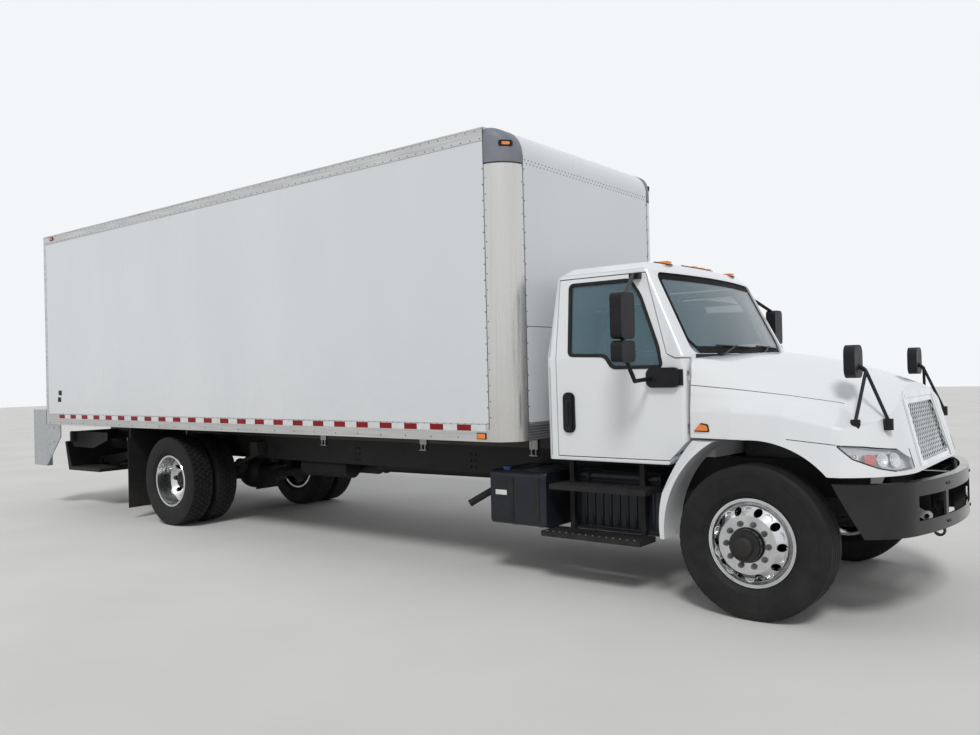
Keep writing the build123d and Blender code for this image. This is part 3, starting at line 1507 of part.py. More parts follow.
rod_start = cylinder_run.length - 340.0
with BuildPart() as lift_rods:
    strut(on_cylinder(rod_start), on_cylinder(cylinder_run.length - 20), rod_radius)
    round_bar("y", on_cylinder(cylinder_run.length), rod_eye_radius, 44)
    rod_hole_radius = cylinder_pin_radius + rod_eye_slack
    round_bar("y", on_cylinder(cylinder_run.length), rod_hole_radius, 60, mode=Mode.SUBTRACT)
    mirror(about=Plane.XZ)
save(lift_rods.part, "lift_rods")
print("rods", len(lift_rods.part.solids()))

# Folded platform: a deck under the arms and the ramp that leans at its rear edge
platform_half = 1010.0
platform_top_z = 535.0
deck_outline = (
    (lift_tip[0] - 75, platform_top_z),
    (box_rear_x + 850, platform_top_z),
    (box_rear_x + 850, 492.0),
    (box_rear_x + 5, 483.0),
    (box_rear_x - 95, 870.0),
    (box_rear_x - 45, 880.0),
)
with BuildPart() as lift_platform:
    with BuildSketch(Plane.XZ.offset(-platform_half)):
        with BuildLine():
            Polyline(deck_outline, close=True)
        make_face()
    extrude(amount=2 * platform_half)
    for side in (-1, 1):
        for ear_y in (lift_arm_y[0] - 27, lift_arm_y[1] + 7):
            block(
                (lift_tip[0] - 60, lift_tip[0] + 45),
                (side * ear_y, side * (ear_y + 20)),
                (500.0, lift_tip[1] + 40),
            )
        pin_middle = (lift_tip[0], side * sum(lift_arm_y) / 2, lift_tip[1])
        round_bar("y", pin_middle, tip_pin_radius, lift_arm_y[1] - lift_arm_y[0] + 60)
save(lift_platform.part, "lift_platform")
print("platform", len(lift_platform.part.solids()))

# Lamps: amber markers on the cab and the body, red ones at the rear
roof_lamp_x = ahead(-874.0)
roof_lamp_y = (0.0, 130.0, 621.0)
corner_lamp_x = (panel_front_x + 60, panel_front_x + 160)
rail_lamp_x = (panel_front_x - 120, panel_front_x - 40)
with BuildPart() as amber_lamps:
    for lamp_y in roof_lamp_y:
        block((roof_lamp_x - 45, roof_lamp_x + 60), (lamp_y - 45, lamp_y + 45), (2380.0, 2530.0))
    fillet(amber_lamps.edges().filter_by(Axis.Z), radius=20)
    add(cab_outer, mode=Mode.SUBTRACT)
    block(corner_lamp_x, (box_half_width - 60, box_half_width + 12), (3540.0, 3590.0))
    with Locations((panel_front_x, wall_half_width, wall_top_z)):
        Sphere(box_corner_radius, mode=Mode.SUBTRACT)
    block(rail_lamp_x, (box_half_width, box_half_width + 10), (1160.0, 1200.0))
    mirror(about=Plane.XZ)
save(amber_lamps.part, "amber_lamps")
print("amber lamps", len(amber_lamps.part.solids()))

tail_lamp_z = 1208.0
with BuildPart() as red_lamps:
    for lamp_y in (900.0, 1080.0):
        lamp_z = (tail_lamp_z - 28, tail_lamp_z + 28)
        block((box_rear_x - 12, box_rear_x), (lamp_y - 70, lamp_y + 70), lamp_z)
    block((box_rear_x - 10, box_rear_x), (100.0, 160.0), (3590.0, 3620.0))
    block((box_rear_x + 200, box_rear_x + 280), (box_half_width, box_half_width + 10), (3630.0, 3665.0))
    mirror(about=Plane.XZ)
    block((box_rear_x - 10, box_rear_x), (-30, 30), (3590.0, 3620.0))
save(red_lamps.part, "red_lamps")
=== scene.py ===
"""Box truck: conventional cab, van body and folded liftgate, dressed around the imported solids.

Metres, in the frame of the solids: X points forward, Y to the driver's side, Z up. Every piece rides
on the body that carries it, so doors, hood, wheels and lift move with what is on them.
"""
from __future__ import annotations

import json
import logging
import math
from dataclasses import dataclass
from enum import Enum
from typing import Iterable, Optional, Sequence

import bmesh
import bpy
from mathutils import Matrix, Vector
from mathutils.bvhtree import BVHTree

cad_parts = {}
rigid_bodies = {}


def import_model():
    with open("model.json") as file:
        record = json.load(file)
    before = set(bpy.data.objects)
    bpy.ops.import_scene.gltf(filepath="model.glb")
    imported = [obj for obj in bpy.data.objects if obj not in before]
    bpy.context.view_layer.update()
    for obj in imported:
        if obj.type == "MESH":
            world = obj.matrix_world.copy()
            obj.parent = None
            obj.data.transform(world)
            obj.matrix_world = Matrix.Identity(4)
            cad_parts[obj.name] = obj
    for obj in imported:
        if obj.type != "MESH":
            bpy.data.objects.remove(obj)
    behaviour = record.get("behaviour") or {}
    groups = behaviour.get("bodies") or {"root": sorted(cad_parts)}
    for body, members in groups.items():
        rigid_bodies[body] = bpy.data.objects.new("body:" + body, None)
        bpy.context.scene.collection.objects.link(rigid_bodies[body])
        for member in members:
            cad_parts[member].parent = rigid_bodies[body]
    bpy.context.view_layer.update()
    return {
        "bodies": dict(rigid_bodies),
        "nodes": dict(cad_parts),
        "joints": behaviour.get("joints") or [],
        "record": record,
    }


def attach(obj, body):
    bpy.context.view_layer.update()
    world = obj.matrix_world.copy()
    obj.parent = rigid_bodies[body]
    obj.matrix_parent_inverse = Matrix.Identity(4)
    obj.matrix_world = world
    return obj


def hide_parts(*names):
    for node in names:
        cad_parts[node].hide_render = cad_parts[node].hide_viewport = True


LOG = logging.getLogger("box_truck")

Colour = tuple[float, float, float]
Scales = tuple[float, float, float]
Point = Sequence[float]
Station = tuple[float, float]
Outline = tuple[Station, ...]
Rows = tuple[tuple[float, ...], ...]
Laid = tuple[Vector, Vector]
Mesh = bmesh.types.BMesh
Socket = bpy.types.NodeSocket

FRONT_AXLE_X = 4.579
REAR_AXLE_X = -2.381
AXLE_Z = 0.518
BOX_FRONT_X = 2.697
PANEL_FRONT_X = 2.468
BOX_REAR_X = -5.254
BOX_HALF_WIDTH = 1.2955
WALL_HALF_WIDTH = 1.0665
SIDES = (-1, 1)
OUTSIDE = 2.0
IN_FRONT = 7.0
RIBBON_SUNK = 0.001

CLOUD_LEVELS = (0.35, 0.65)
GLOSS_LEVELS = (0.3, 0.7)
FADING = (1.0, 0.0)
SHADE_EDGE = 0.004
COAT_ROUGHNESS = 0.06
DUST_COLOUR = (0.42, 0.37, 0.31)
# Painted shade for the wheels: the hub's recess and the drum behind the disc.
HUB_SHADE_COLOUR = (0.055, 0.055, 0.06)
DRUM_SHADE_COLOUR = (0.05, 0.045, 0.04)


def ahead(distance: float) -> float:
    """X of a point given from the front axle."""
    return FRONT_AXLE_X + distance


def side_name(side: int) -> str:
    """Name of the driver's side (left) or of the kerb side (right)."""
    return "left" if side > 0 else "right"


class Nodes:
    """Makes, sets and links the nodes of one material or world."""

    def __init__(self, tree: bpy.types.NodeTree) -> None:
        """Take the tree to work in."""
        self.tree = tree

    def fill(self, node: bpy.types.Node, inputs: dict[str | int, object]) -> None:
        """Set a node's inputs, and link those that are given a socket.

        Args:
            node: The node.
            inputs: A value or a socket for each input's name or number.
        """
        for key, value in inputs.items():
            if isinstance(value, Socket):
                self.tree.links.new(value, node.inputs[key])
            else:
                node.inputs[key].default_value = value

    def add(self, kind: str, inputs: dict[str | int, object], **options: str) -> bpy.types.Node:
        """Make a node.

        Args:
            kind: Its type, without the usual first word.
            inputs: A value or a socket for each input's name or number.
            options: Settings of the node itself.

        Returns:
            The node.
        """
        node = self.tree.nodes.new(f"ShaderNode{kind}")
        for option, value in options.items():
            setattr(node, option, value)
        self.fill(node, inputs)
        return node

    def noise(self, where: Socket, scale: float, detail: float) -> Socket:
        """The level of a noise pattern."""
        noise = self.add("TexNoise", {"Scale": scale, "Detail": detail, "Vector": where})
        return noise.outputs["Fac"]

    def remap(self, value: Socket, source: Station, target: Station = (0.0, 1.0)) -> Socket:
        """A value carried from one range to another, held at its ends."""
        ends = zip(("From Min", "From Max", "To Min", "To Max"), (*source, *target))
        return self.add("MapRange", {"Value": value, **dict(ends)}).outputs["Result"]

    def mix(self, share: Socket, first: Colour | Socket, second: Colour | Socket) -> Socket:
        """Two colours mixed by the second one's share."""
        low, high = ((*tone, 1.0) if isinstance(tone, tuple) else tone for tone in (first, second))
        return self.add("Mix", {0: share, 6: low, 7: high}, data_type="RGBA").outputs[2]

    def calc(self, kind: str, first: Socket, second: Socket | float = 0.0) -> Socket:
        """One step of arithmetic."""
        return self.add("Math", {0: first, 1: second}, operation=kind).outputs[0]

    def bands(self, where: Socket, scale: float, turn: float) -> Socket:
        """Straight bands, turned about Z."""
        turned = self.add("Mapping", {"Rotation": (0.0, 0.0, turn), "Vector": where}).outputs[0]
        return self.add("TexWave", {"Scale": scale, "Vector": turned}).outputs["Fac"]

    def crossed(self, where: Socket, scale: float, turn: float, other_turn: float) -> Socket:
        """Two sets of bands, multiplied."""
        first, second = (self.bands(where, scale, way) for way in (turn, other_turn))
        return self.calc("MULTIPLY", first, second)


class Pattern(Enum):
    """How a finish breaks up its colour and its surface."""

    PEEL = "sprayed paint"
    BRUSHED = "drawn or brushed metal"
    SPANGLE = "zinc crystals"
    GRAIN = "moulded plastic"
    CAST = "cast or rolled steel"
    WEAVE = "woven cloth"
    PLANKS = "laid boards"
    LOZENGE = "raised tread plate"
    CLEAR = "clear sheet"
    CELLS = "moulded reflector cells"


@dataclass(frozen=True)
class Finish:
    """One finish: its colours, gloss, pattern, dirt and, on wheels, painted shade about the hub.

    Scales are features per metre on the piece's Object coordinates, lengths are metres.
    """

    name: str
    pattern: Pattern
    colour: Colour
    second: Colour
    rough: Station = (0.3, 0.5)
    metallic: float = 0.0
    coat: float = 0.0
    scale: float = 2.0
    stretch: Scales = (1.0, 1.0, 1.0)
    grain: float = 160.0
    bump: float = 0.1
    depth: float = 0.0004
    dust: float = 0.0
    dust_top: float = 1.3
    alpha: float = 1.0
    # Where a wheel's painted shade falls: its axle, the radii of hub and drum, and the depth behind
    # the disc.
    axle: Optional[Station] = None
    shade_radii: Station = (0.0, 0.0)
    shade_depth: float = 0.0
    specular: float = 0.5

    def material(self) -> bpy.types.Material:
        """The finish as a node material, made once.

        Returns:
            The material of this name.
        """
        name = f"finish_{self.name}"
        if name in bpy.data.materials:
            return bpy.data.materials[name]
        made = bpy.data.materials.new(name)
        made.use_nodes = True
        nodes = Nodes(made.node_tree)
        where = nodes.add("TexCoord", {}).outputs["Object"]
        stretched = nodes.add("Mapping", {
            "Scale": tuple(self.scale * part for part in self.stretch), "Vector": where,
        })
        cloud = nodes.noise(stretched.outputs["Vector"], 1.0, 4.0)
        height = self._height(nodes, where, cloud)
        if self.pattern is Pattern.SPANGLE:
            tone = nodes.mix(nodes.remap(height, (0.1, 0.9)), self.colour, self.second)
        elif self.pattern is Pattern.PLANKS:
            tone = nodes.mix(nodes.remap(height, (0.2, 0.4)), self.second, self.colour)
        else:
            tone = nodes.mix(nodes.remap(cloud, CLOUD_LEVELS), self.colour, self.second)
        if self.dust > 0:
            tone = self._dusted(nodes, where, tone)
        if self.axle is not None:
            tone = self._hub_shade(nodes, where, tone)
        bump = nodes.add("Bump", {"Strength": self.bump, "Distance": self.depth, "Height": height})
        nodes.fill(made.node_tree.nodes["Principled BSDF"], {
            "Base Color": tone,
            "Roughness": nodes.remap(cloud, GLOSS_LEVELS, self.rough),
            "Normal": bump.outputs["Normal"],
            "Metallic": self.metallic,
            "Coat Weight": self.coat,
            "Coat Roughness": COAT_ROUGHNESS,
            "Specular IOR Level": self.specular,
            "Alpha": self.alpha,
            "IOR": 1.5,
        })
        return made

    def _height(self, nodes: Nodes, where: Socket, cloud: Socket) -> Socket:
        """The height field that the pattern gives the bump.

        Args:
            nodes: The material's nodes.
            where: The Object coordinates.
            cloud: Level of the colour pattern.

        Returns:
            A level from about nought to one.
        """
        if self.pattern is Pattern.BRUSHED:
            return cloud
        if self.pattern in (Pattern.SPANGLE, Pattern.GRAIN, Pattern.CELLS):
            cells = nodes.add("TexVoronoi", {"Scale": self.grain, "Vector": where}).outputs
            if self.pattern is Pattern.SPANGLE:
                return nodes.add("SeparateColor", {"Color": cells["Color"]}).outputs["Red"]
            return cells["Distance"]
        if self.pattern is Pattern.WEAVE:
            return nodes.crossed(where, self.grain, 0.0, math.pi / 2)
        if self.pattern is Pattern.LOZENGE:
            ridges = nodes.crossed(where, self.grain, math.pi / 4, -math.pi / 4)
            return nodes.remap(ridges, (0.35, 0.6))
        if self.pattern is Pattern.PLANKS:
            return nodes.remap(nodes.bands(where, self.grain, math.pi / 2), (0.0, 0.12))
        return nodes.noise(where, self.grain, 3.0)

    def _dusted(self, nodes: Nodes, where: Socket, tone: Socket) -> Socket:
        """The colour with road dust that thins out upwards.

        Args:
            nodes: The material's nodes.
            where: The Object coordinates.
            tone: The clean colour.

        Returns:
            The dusty colour.
        """
        height = nodes.add("SeparateXYZ", {"Vector": where}).outputs["Z"]
        low = nodes.remap(height, (0.0, self.dust_top), (self.dust, 0.0))
        patches = nodes.remap(nodes.noise(where, 7.0, 6.0), CLOUD_LEVELS, (0.25, 1.0))
        return nodes.mix(nodes.calc("MULTIPLY", low, patches), tone, DUST_COLOUR)

    def _hub_shade(self, nodes: Nodes, where: Socket, tone: Socket) -> Socket:
        """The colour with painted shade about a wheel's axle: in the hub's recess and on the drum
        behind the disc.

        Args:
            nodes: The material's nodes.
            where: The Object coordinates.
            tone: The bright colour.

        Returns:
            The shaded colour.
        """
        parts = nodes.add("SeparateXYZ", {"Vector": where}).outputs
        squares = []
        for part, middle in zip((parts["X"], parts["Z"]), self.axle):
            off = nodes.calc("SUBTRACT", part, middle)
            squares.append(nodes.calc("MULTIPLY", off, off))
        radius = nodes.calc("SQRT", nodes.calc("ADD", *squares))
        hub, drum = (nodes.remap(radius, (edge, edge + SHADE_EDGE), FADING)
                     for edge in self.shade_radii)
        behind = nodes.remap(nodes.calc("ABSOLUTE", parts["Y"]),
                             (self.shade_depth, self.shade_depth + SHADE_EDGE), FADING)
        # Painted shade: dark in the hub's recess, then over everything inside the disc within the
        # drum's radius.
        tone = nodes.mix(hub, tone, HUB_SHADE_COLOUR)
        return nodes.mix(nodes.calc("MULTIPLY", behind, drum), tone, DRUM_SHADE_COLOUR)


PAINT = Finish("white_paint", Pattern.PEEL, (0.78, 0.79, 0.8), (0.74, 0.76, 0.78), (0.18, 0.3),
               coat=0.6, scale=0.8, grain=220.0, bump=0.02, dust=0.3, dust_top=1.4)
PANEL = Finish("white_panel", Pattern.PEEL, (0.72, 0.735, 0.75), (0.68, 0.7, 0.72), (0.22, 0.36),
               coat=0.3, scale=0.7, stretch=(1.0, 1.0, 0.4), grain=3.0, bump=0.12, depth=0.004,
               dust=0.25, dust_top=2.2)
MILL = Finish("rail_aluminium", Pattern.BRUSHED, (0.62, 0.62, 0.61), (0.5, 0.5, 0.5), (0.28, 0.44),
              0.85, scale=1.0, stretch=(2.0, 30.0, 60.0), bump=0.08, dust=0.35, dust_top=1.9)
POST = Finish("post_aluminium", Pattern.BRUSHED, (0.64, 0.63, 0.61), (0.59, 0.58, 0.565), (0.2, 0.32),
              0.95, stretch=(60.0, 60.0, 0.5), bump=0.04, dust=0.25, dust_top=2.4)
CAP = Finish("cap_grey", Pattern.GRAIN, (0.17, 0.18, 0.21), (0.2, 0.21, 0.24), (0.45, 0.6),
             grain=700.0, bump=0.1, scale=9.0)
FRAME_BLACK = Finish("chassis_black", Pattern.CAST, (0.011, 0.011, 0.012), (0.018, 0.018, 0.019),
                     (0.4, 0.6), grain=90.0, bump=0.15, scale=6.0, dust=0.05, dust_top=1.2,
                     specular=0.2)
CAST_BLACK = Finish("cast_black", Pattern.CAST, (0.013, 0.013, 0.014), (0.022, 0.021, 0.021),
                    (0.5, 0.7), grain=180.0, bump=0.4, depth=0.0008, scale=8.0, dust=0.05,
                    dust_top=1.2, specular=0.25)
ENGINE = Finish("engine_metal", Pattern.CAST, (0.09, 0.092, 0.095), (0.05, 0.05, 0.05), (0.45, 0.6),
                0.4, grain=150.0, bump=0.4, depth=0.0008, dust=0.08)
SPRING = Finish("spring_steel", Pattern.BRUSHED, (0.03, 0.028, 0.027), (0.045, 0.038, 0.032),
                (0.5, 0.7), 0.4, stretch=(4.0, 40.0, 40.0), bump=0.15, dust=0.08)
# The wheels' axle, radii and depth place painted shade in the hub's recess and behind the disc.
ALLOY = Finish("wheel_alloy", Pattern.BRUSHED, (0.7, 0.71, 0.72), (0.58, 0.59, 0.6), (0.16, 0.28),
               1.0, scale=14.0, bump=0.03, dust=0.16, dust_top=1.4, axle=(FRONT_AXLE_X, AXLE_Z),
               shade_radii=(0.116, 0.245), shade_depth=1.136)
ALLOY_REAR = Finish("wheel_alloy_rear", Pattern.BRUSHED, (0.66, 0.67, 0.68), (0.52, 0.53, 0.54),
                    (0.18, 0.3), 1.0, scale=14.0, bump=0.03, dust=0.25, dust_top=1.4,
                    axle=(REAR_AXLE_X, AXLE_Z), shade_radii=(0.116, 0.238), shade_depth=0.9)
RUBBER = Finish("tyre", Pattern.CAST, (0.011, 0.011, 0.012), (0.017, 0.017, 0.018), (0.55, 0.75),
                scale=12.0, grain=260.0, bump=0.2, depth=0.0005, dust=0.035, dust_top=1.0,
                specular=0.18)
TANK = Finish("tank_aluminium", Pattern.BRUSHED, (0.58, 0.58, 0.58), (0.46, 0.46, 0.46), (0.25, 0.42),
              0.9, stretch=(2.0, 40.0, 40.0), bump=0.08, dust=0.4)
PLASTIC = Finish("black_plastic", Pattern.GRAIN, (0.01, 0.01, 0.012), (0.015, 0.015, 0.017),
                 (0.38, 0.52), grain=900.0, bump=0.15, depth=0.0003, scale=7.0, specular=0.2)
BOX_BLACK = Finish("box_black", Pattern.GRAIN, (0.008, 0.01, 0.016), (0.013, 0.015, 0.022),
                   (0.3, 0.42), coat=0.2, grain=600.0, bump=0.08, scale=5.0, dust=0.03, dust_top=1.0,
                   specular=0.2)
GLASS = Finish("window_glass", Pattern.CLEAR, (0.09, 0.2, 0.25), (0.07, 0.165, 0.21), (0.02, 0.05),
               0.0, 1.0, grain=2.0, bump=0.01, alpha=0.45)
LENS_CLEAR = Finish("lamp_clear", Pattern.CLEAR, (0.85, 0.87, 0.88), (0.8, 0.82, 0.84), (0.04, 0.08),
                    coat=1.0, grain=30.0, bump=0.02, alpha=0.22)
CHROME = Finish("grille_chrome", Pattern.BRUSHED, (0.82, 0.83, 0.84), (0.72, 0.73, 0.74),
                (0.06, 0.13), 1.0, scale=5.0, bump=0.02, dust=0.05)
BUMPER = Finish("bumper_black", Pattern.PEEL, (0.009, 0.009, 0.01), (0.014, 0.014, 0.015),
                (0.14, 0.24), coat=0.3, grain=240.0, bump=0.02, scale=3.0, dust=0.03, dust_top=1.0,
                specular=0.3)
TRIM = Finish("trim_grey", Pattern.GRAIN, (0.16, 0.16, 0.17), (0.12, 0.12, 0.13), (0.5, 0.65),
              grain=700.0, bump=0.15, scale=6.0)
CLOTH = Finish("seat_fabric", Pattern.WEAVE, (0.13, 0.135, 0.15), (0.1, 0.1, 0.115), (0.8, 0.95),
               grain=180.0, bump=0.4, depth=0.0006, scale=9.0)
# Far darker than bare boards: painted shade for the floor's edge, which only shows in the shadow
# under the rails.
SHADED_WOOD = Finish("floor_wood", Pattern.PLANKS, (0.045, 0.034, 0.026), (0.015, 0.012, 0.01), (0.5, 0.65),
              scale=3.0, stretch=(1.0, 12.0, 1.0), grain=3.4, bump=0.4, depth=0.002)
FLAP = Finish("flap_rubber", Pattern.CAST, (0.011, 0.011, 0.012), (0.018, 0.018, 0.018), (0.55, 0.75),
              grain=120.0, bump=0.2, scale=5.0, dust=0.06, dust_top=0.9, specular=0.18)
GALVANISED = Finish("gate_steel", Pattern.SPANGLE, (0.5, 0.51, 0.51), (0.42, 0.44, 0.45),
                    (0.38, 0.55), 0.6, grain=55.0, bump=0.05, dust=0.08)
PLATFORM = Finish("platform_black", Pattern.LOZENGE, (0.016, 0.016, 0.017), (0.026, 0.025, 0.025),
                  (0.45, 0.65), 0.3, grain=9.0, bump=0.7, depth=0.0025, scale=6.0, dust=0.05,
                  dust_top=0.9, specular=0.25)
ROD = Finish("rod_chrome", Pattern.BRUSHED, (0.78, 0.78, 0.79), (0.7, 0.7, 0.71), (0.07, 0.14), 1.0,
             scale=20.0, bump=0.02)
AMBER = Finish("amber_lens", Pattern.CELLS, (0.9, 0.25, 0.02), (0.8, 0.2, 0.02), (0.1, 0.2), coat=0.8,
               grain=90.0, bump=0.35, depth=0.001, scale=20.0)
RED = Finish("red_lens", Pattern.CELLS, (0.55, 0.02, 0.02), (0.46, 0.015, 0.015), (0.1, 0.2),
             coat=0.8, grain=90.0, bump=0.35, depth=0.001, scale=20.0)
TAPE_RED = Finish("tape_red", Pattern.CELLS, (0.27, 0.008, 0.014), (0.2, 0.006, 0.01), (0.4, 0.5),
                  specular=0.2, grain=260.0, bump=0.25, scale=14.0)
TAPE_WHITE = Finish("tape_white", Pattern.CELLS, (0.7, 0.71, 0.71), (0.62, 0.63, 0.63), (0.3, 0.4),
                    coat=0.3, grain=260.0, bump=0.25, scale=14.0)
SEAL = Finish("seal_rubber", Pattern.CAST, (0.014, 0.014, 0.015), (0.022, 0.022, 0.023), (0.5, 0.65),
              grain=300.0, bump=0.12, scale=10.0, specular=0.2)
RIVET = Finish("rivet_steel", Pattern.CAST, (0.17, 0.17, 0.17), (0.1, 0.1, 0.1), (0.35, 0.5), 0.7,
               grain=200.0, bump=0.1, scale=8.0)
BOLT = Finish("bolt_zinc", Pattern.SPANGLE, (0.5, 0.5, 0.49), (0.4, 0.4, 0.38), (0.25, 0.4), 0.9,
              grain=300.0, bump=0.1, scale=10.0)
SEAM = Finish("seam_shadow", Pattern.CAST, (0.05, 0.053, 0.058), (0.035, 0.037, 0.04), (0.6, 0.8),
              grain=100.0, bump=0.05, scale=10.0, specular=0.2)
MIRROR = Finish("mirror_face", Pattern.CLEAR, (0.8, 0.82, 0.84), (0.76, 0.78, 0.8), (0.02, 0.05), 1.0,
                grain=4.0, bump=0.01)
LAMP_BACK = Finish("lamp_housing", Pattern.CELLS, (0.62, 0.64, 0.66), (0.5, 0.52, 0.55), (0.12, 0.25),
                   0.8, grain=60.0, bump=0.15, depth=0.001, scale=16.0)
COOLER = Finish("cooler", Pattern.CAST, (0.05, 0.052, 0.055), (0.03, 0.03, 0.032), (0.5, 0.7), 0.3,
                grain=200.0, bump=0.1, scale=8.0)
CAP_BLUE = Finish("fluid_cap", Pattern.GRAIN, (0.012, 0.04, 0.13), (0.01, 0.03, 0.1), (0.35, 0.5),
                  grain=500.0, bump=0.1, scale=10.0)

FRAME: dict = {}

SOLID_FINISHES: dict[Finish, tuple[str, ...]] = {
    FRAME_BLACK: ("frame_rails", "crossmembers", "driveshaft", "front_axle_beam", "rear_axle",
                  "tie_rod", "air_tanks", "cab_steps", "liftgate_frame", "lift_arms",
                  "lift_cylinders"),
    CAST_BLACK: ("knuckle_left", "knuckle_right"),
    ENGINE: ("engine_and_gearbox",),
    SPRING: ("leaf_springs",),
    ALLOY: ("front_wheel_left", "front_wheel_right"),
    ALLOY_REAR: ("rear_wheels_left", "rear_wheels_right"),
    RUBBER: ("front_tyre_left", "front_tyre_right", "rear_tyres_left", "rear_tyres_right"),
    TANK: ("fuel_tank",),
    BOX_BLACK: ("side_boxes",),
    PAINT: ("cab_shell", "door_left", "door_right", "hood", "fender_extensions"),
    GLASS: ("cab_glass", "door_glass_left", "door_glass_right"),
    PLASTIC: ("door_mirror_left", "door_mirror_right", "hood_mirrors", "steering_wheel"),
    LENS_CLEAR: ("headlamps",),
    CHROME: ("grille",),
    BUMPER: ("bumper",),
    TRIM: ("dashboard",),
    CLOTH: ("seats",),
    SHADED_WOOD: ("box_floor",),
    PANEL: ("box_side_panels", "box_front_wall", "box_roof", "roll_up_door"),
    MILL: ("box_rails", "rear_frame"),
    POST: ("box_corner_posts",),
    CAP: ("box_corner_caps",),
    FLAP: ("mud_flaps",),
    GALVANISED: ("liftgate_posts",),
    PLATFORM: ("lift_platform",),
    ROD: ("lift_rods",),
    AMBER: ("amber_lamps",),
    RED: ("red_lamps",),
}


def dress_nodes() -> None:
    """Give every solid its finish."""
    for finish, nodes in SOLID_FINISHES.items():
        for node in nodes:
            for slot in FRAME["nodes"][node].material_slots:
                slot.material = finish.material()


def build(name: str, bm: Mesh, finish: Finish, body: str = "root",
          sharp: float = 35.0) -> bpy.types.Object:
    """Turn a bmesh into a finished piece that rides on a body.

    Args:
        name: Name of the piece.
        bm: The mesh; it is freed here.
        finish: Its finish.
        body: The body it moves with.
        sharp: Angle in degrees over which an edge stays sharp.

    Returns:
        The piece's object, at the origin.
    """
    bmesh.ops.recalc_face_normals(bm, faces=bm.faces)
    mesh = bpy.data.meshes.new(name)
    bm.to_mesh(mesh)
    bm.free()
    mesh.shade_smooth()
    mesh.set_sharp_from_angle(angle=math.radians(sharp))
    mesh.materials.append(finish.material())
    piece = bpy.data.objects.new(name, mesh)
    bpy.context.scene.collection.objects.link(piece)
    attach(piece, body)
    LOG.info("%s: %d faces on %s", name, len(mesh.polygons), body)
    return piece


def facing(normal: Point) -> Matrix:
    """A turn that takes Z to a direction."""
    return Vector(normal).to_track_quat("Z", "Y").to_matrix().to_4x4()


def tilted(degrees: float, axis: str = "Y") -> Matrix:
    """A turn about an axis."""
    return Matrix.Rotation(math.radians(degrees), 4, axis)


def add_block(bm: Mesh, centre: Point, size: Point, edge: float = 0.0,
              turn: Optional[Matrix] = None) -> None:
    """Add a block, its edges rounded where an edge radius is given.

    Args:
        bm: The mesh.
        centre: Its middle.
        size: Its three lengths.
        edge: Radius of its edges.
        turn: A turn about its middle.
    """
    matrix = Matrix.Translation(centre) @ (turn or Matrix.Identity(4)) @ Matrix.Diagonal((*size, 1.0))
    verts = bmesh.ops.create_cube(bm, size=1.0, matrix=matrix)["verts"]
    if edge > 0:
        edges = list(dict.fromkeys(link for vert in verts for link in vert.link_edges))
        bmesh.ops.bevel(bm, geom=edges, offset=edge, segments=2, profile=0.5, affect="EDGES",
                        material=-1, clamp_overlap=True)


def add_rod(bm: Mesh, start: Point, end: Point, radius: float, segments: int = 16) -> None:
    """Add a round bar between two points.

    Args:
        bm: The mesh.
        start: Middle of its first end.
        end: Middle of its second end.
        radius: Its radius.
        segments: Faces round it.
    """
    run = Vector(end) - Vector(start)
    matrix = Matrix.Translation((Vector(start) + Vector(end)) / 2) @ facing(run)
    bmesh.ops.create_cone(bm, cap_ends=True, cap_tris=False, segments=segments, radius1=radius,
                          radius2=radius, depth=run.length, matrix=matrix)


def add_ball(bm: Mesh, centre: Point, radius: float) -> None:
    """Add a ball."""
    bmesh.ops.create_uvsphere(bm, u_segments=18, v_segments=12, radius=radius,
                              matrix=Matrix.Translation(centre))


def add_path(bm: Mesh, points: Sequence[Point], radius: float) -> None:
    """Add a bent bar with a ball at each bend.

    Args:
        bm: The mesh.
        points: Its ends and bends.
        radius: Its radius.
    """
    for start, end in zip(points, points[1:]):
        add_rod(bm, start, end, radius, 14)
    for bend in points[1:-1]:
        add_ball(bm, bend, radius)


def add_lathe(bm: Mesh, profile: Sequence[Station], origin: Point, axis: Point, steps: int = 48,
              closed: bool = False) -> None:
    """Spin a profile about an axis.

    Args:
        bm: The mesh.
        profile: Distance along the axis and radius of each point.
        origin: A point on the axis, where the distance is nought.
        axis: Direction of the axis.
        steps: Faces round it.
        closed: Whether the profile's last point joins its first.
    """
    way = Vector(axis).normalized()
    out = way.orthogonal().normalized()
    verts = [bm.verts.new(Vector(origin) + way * along + out * radius) for along, radius in profile]
    pairs = list(zip(verts, verts[1:]))
    if closed:
        pairs.append((verts[-1], verts[0]))
    edges = [bm.edges.new(pair) for pair in pairs]
    bmesh.ops.spin(bm, geom=verts + edges, cent=origin, axis=way, dvec=(0, 0, 0), angle=math.tau,
                   steps=steps, use_merge=True, use_duplicate=False)
    poles = [vert for vert in bm.verts if (vert.co - Vector(origin)).cross(way).length < 1e-6]
    bmesh.ops.remove_doubles(bm, verts=poles, dist=1e-6)


def add_plate(bm: Mesh, outline: Sequence[Point], through: Point) -> None:
    """Add a flat plate.

    Args:
        bm: The mesh.
        outline: Its corners.
        through: Its thickness, as a vector.
    """
    face = bm.faces.new([bm.verts.new(point) for point in outline])
    grown = bmesh.ops.extrude_face_region(bm, geom=[face])
    moved = [item for item in grown["geom"] if isinstance(item, bmesh.types.BMVert)]
    bmesh.ops.translate(bm, verts=moved, vec=through)


def add_rivet(bm: Mesh, at: Point, normal: Point, radius: float = 0.007,
              height: float = 0.003) -> None:
    """Add one low domed head on a surface.

    Args:
        bm: The mesh.
        at: Middle of its foot.
        normal: The way it stands out.
        radius: Radius of its foot.
        height: Its height.
    """
    way = Vector(normal).normalized()
    matrix = Matrix.Translation(Vector(at) + way * height / 2) @ facing(way)
    bmesh.ops.create_cone(bm, cap_ends=True, cap_tris=False, segments=8, radius1=radius,
                          radius2=radius * 0.55, depth=height, matrix=matrix)


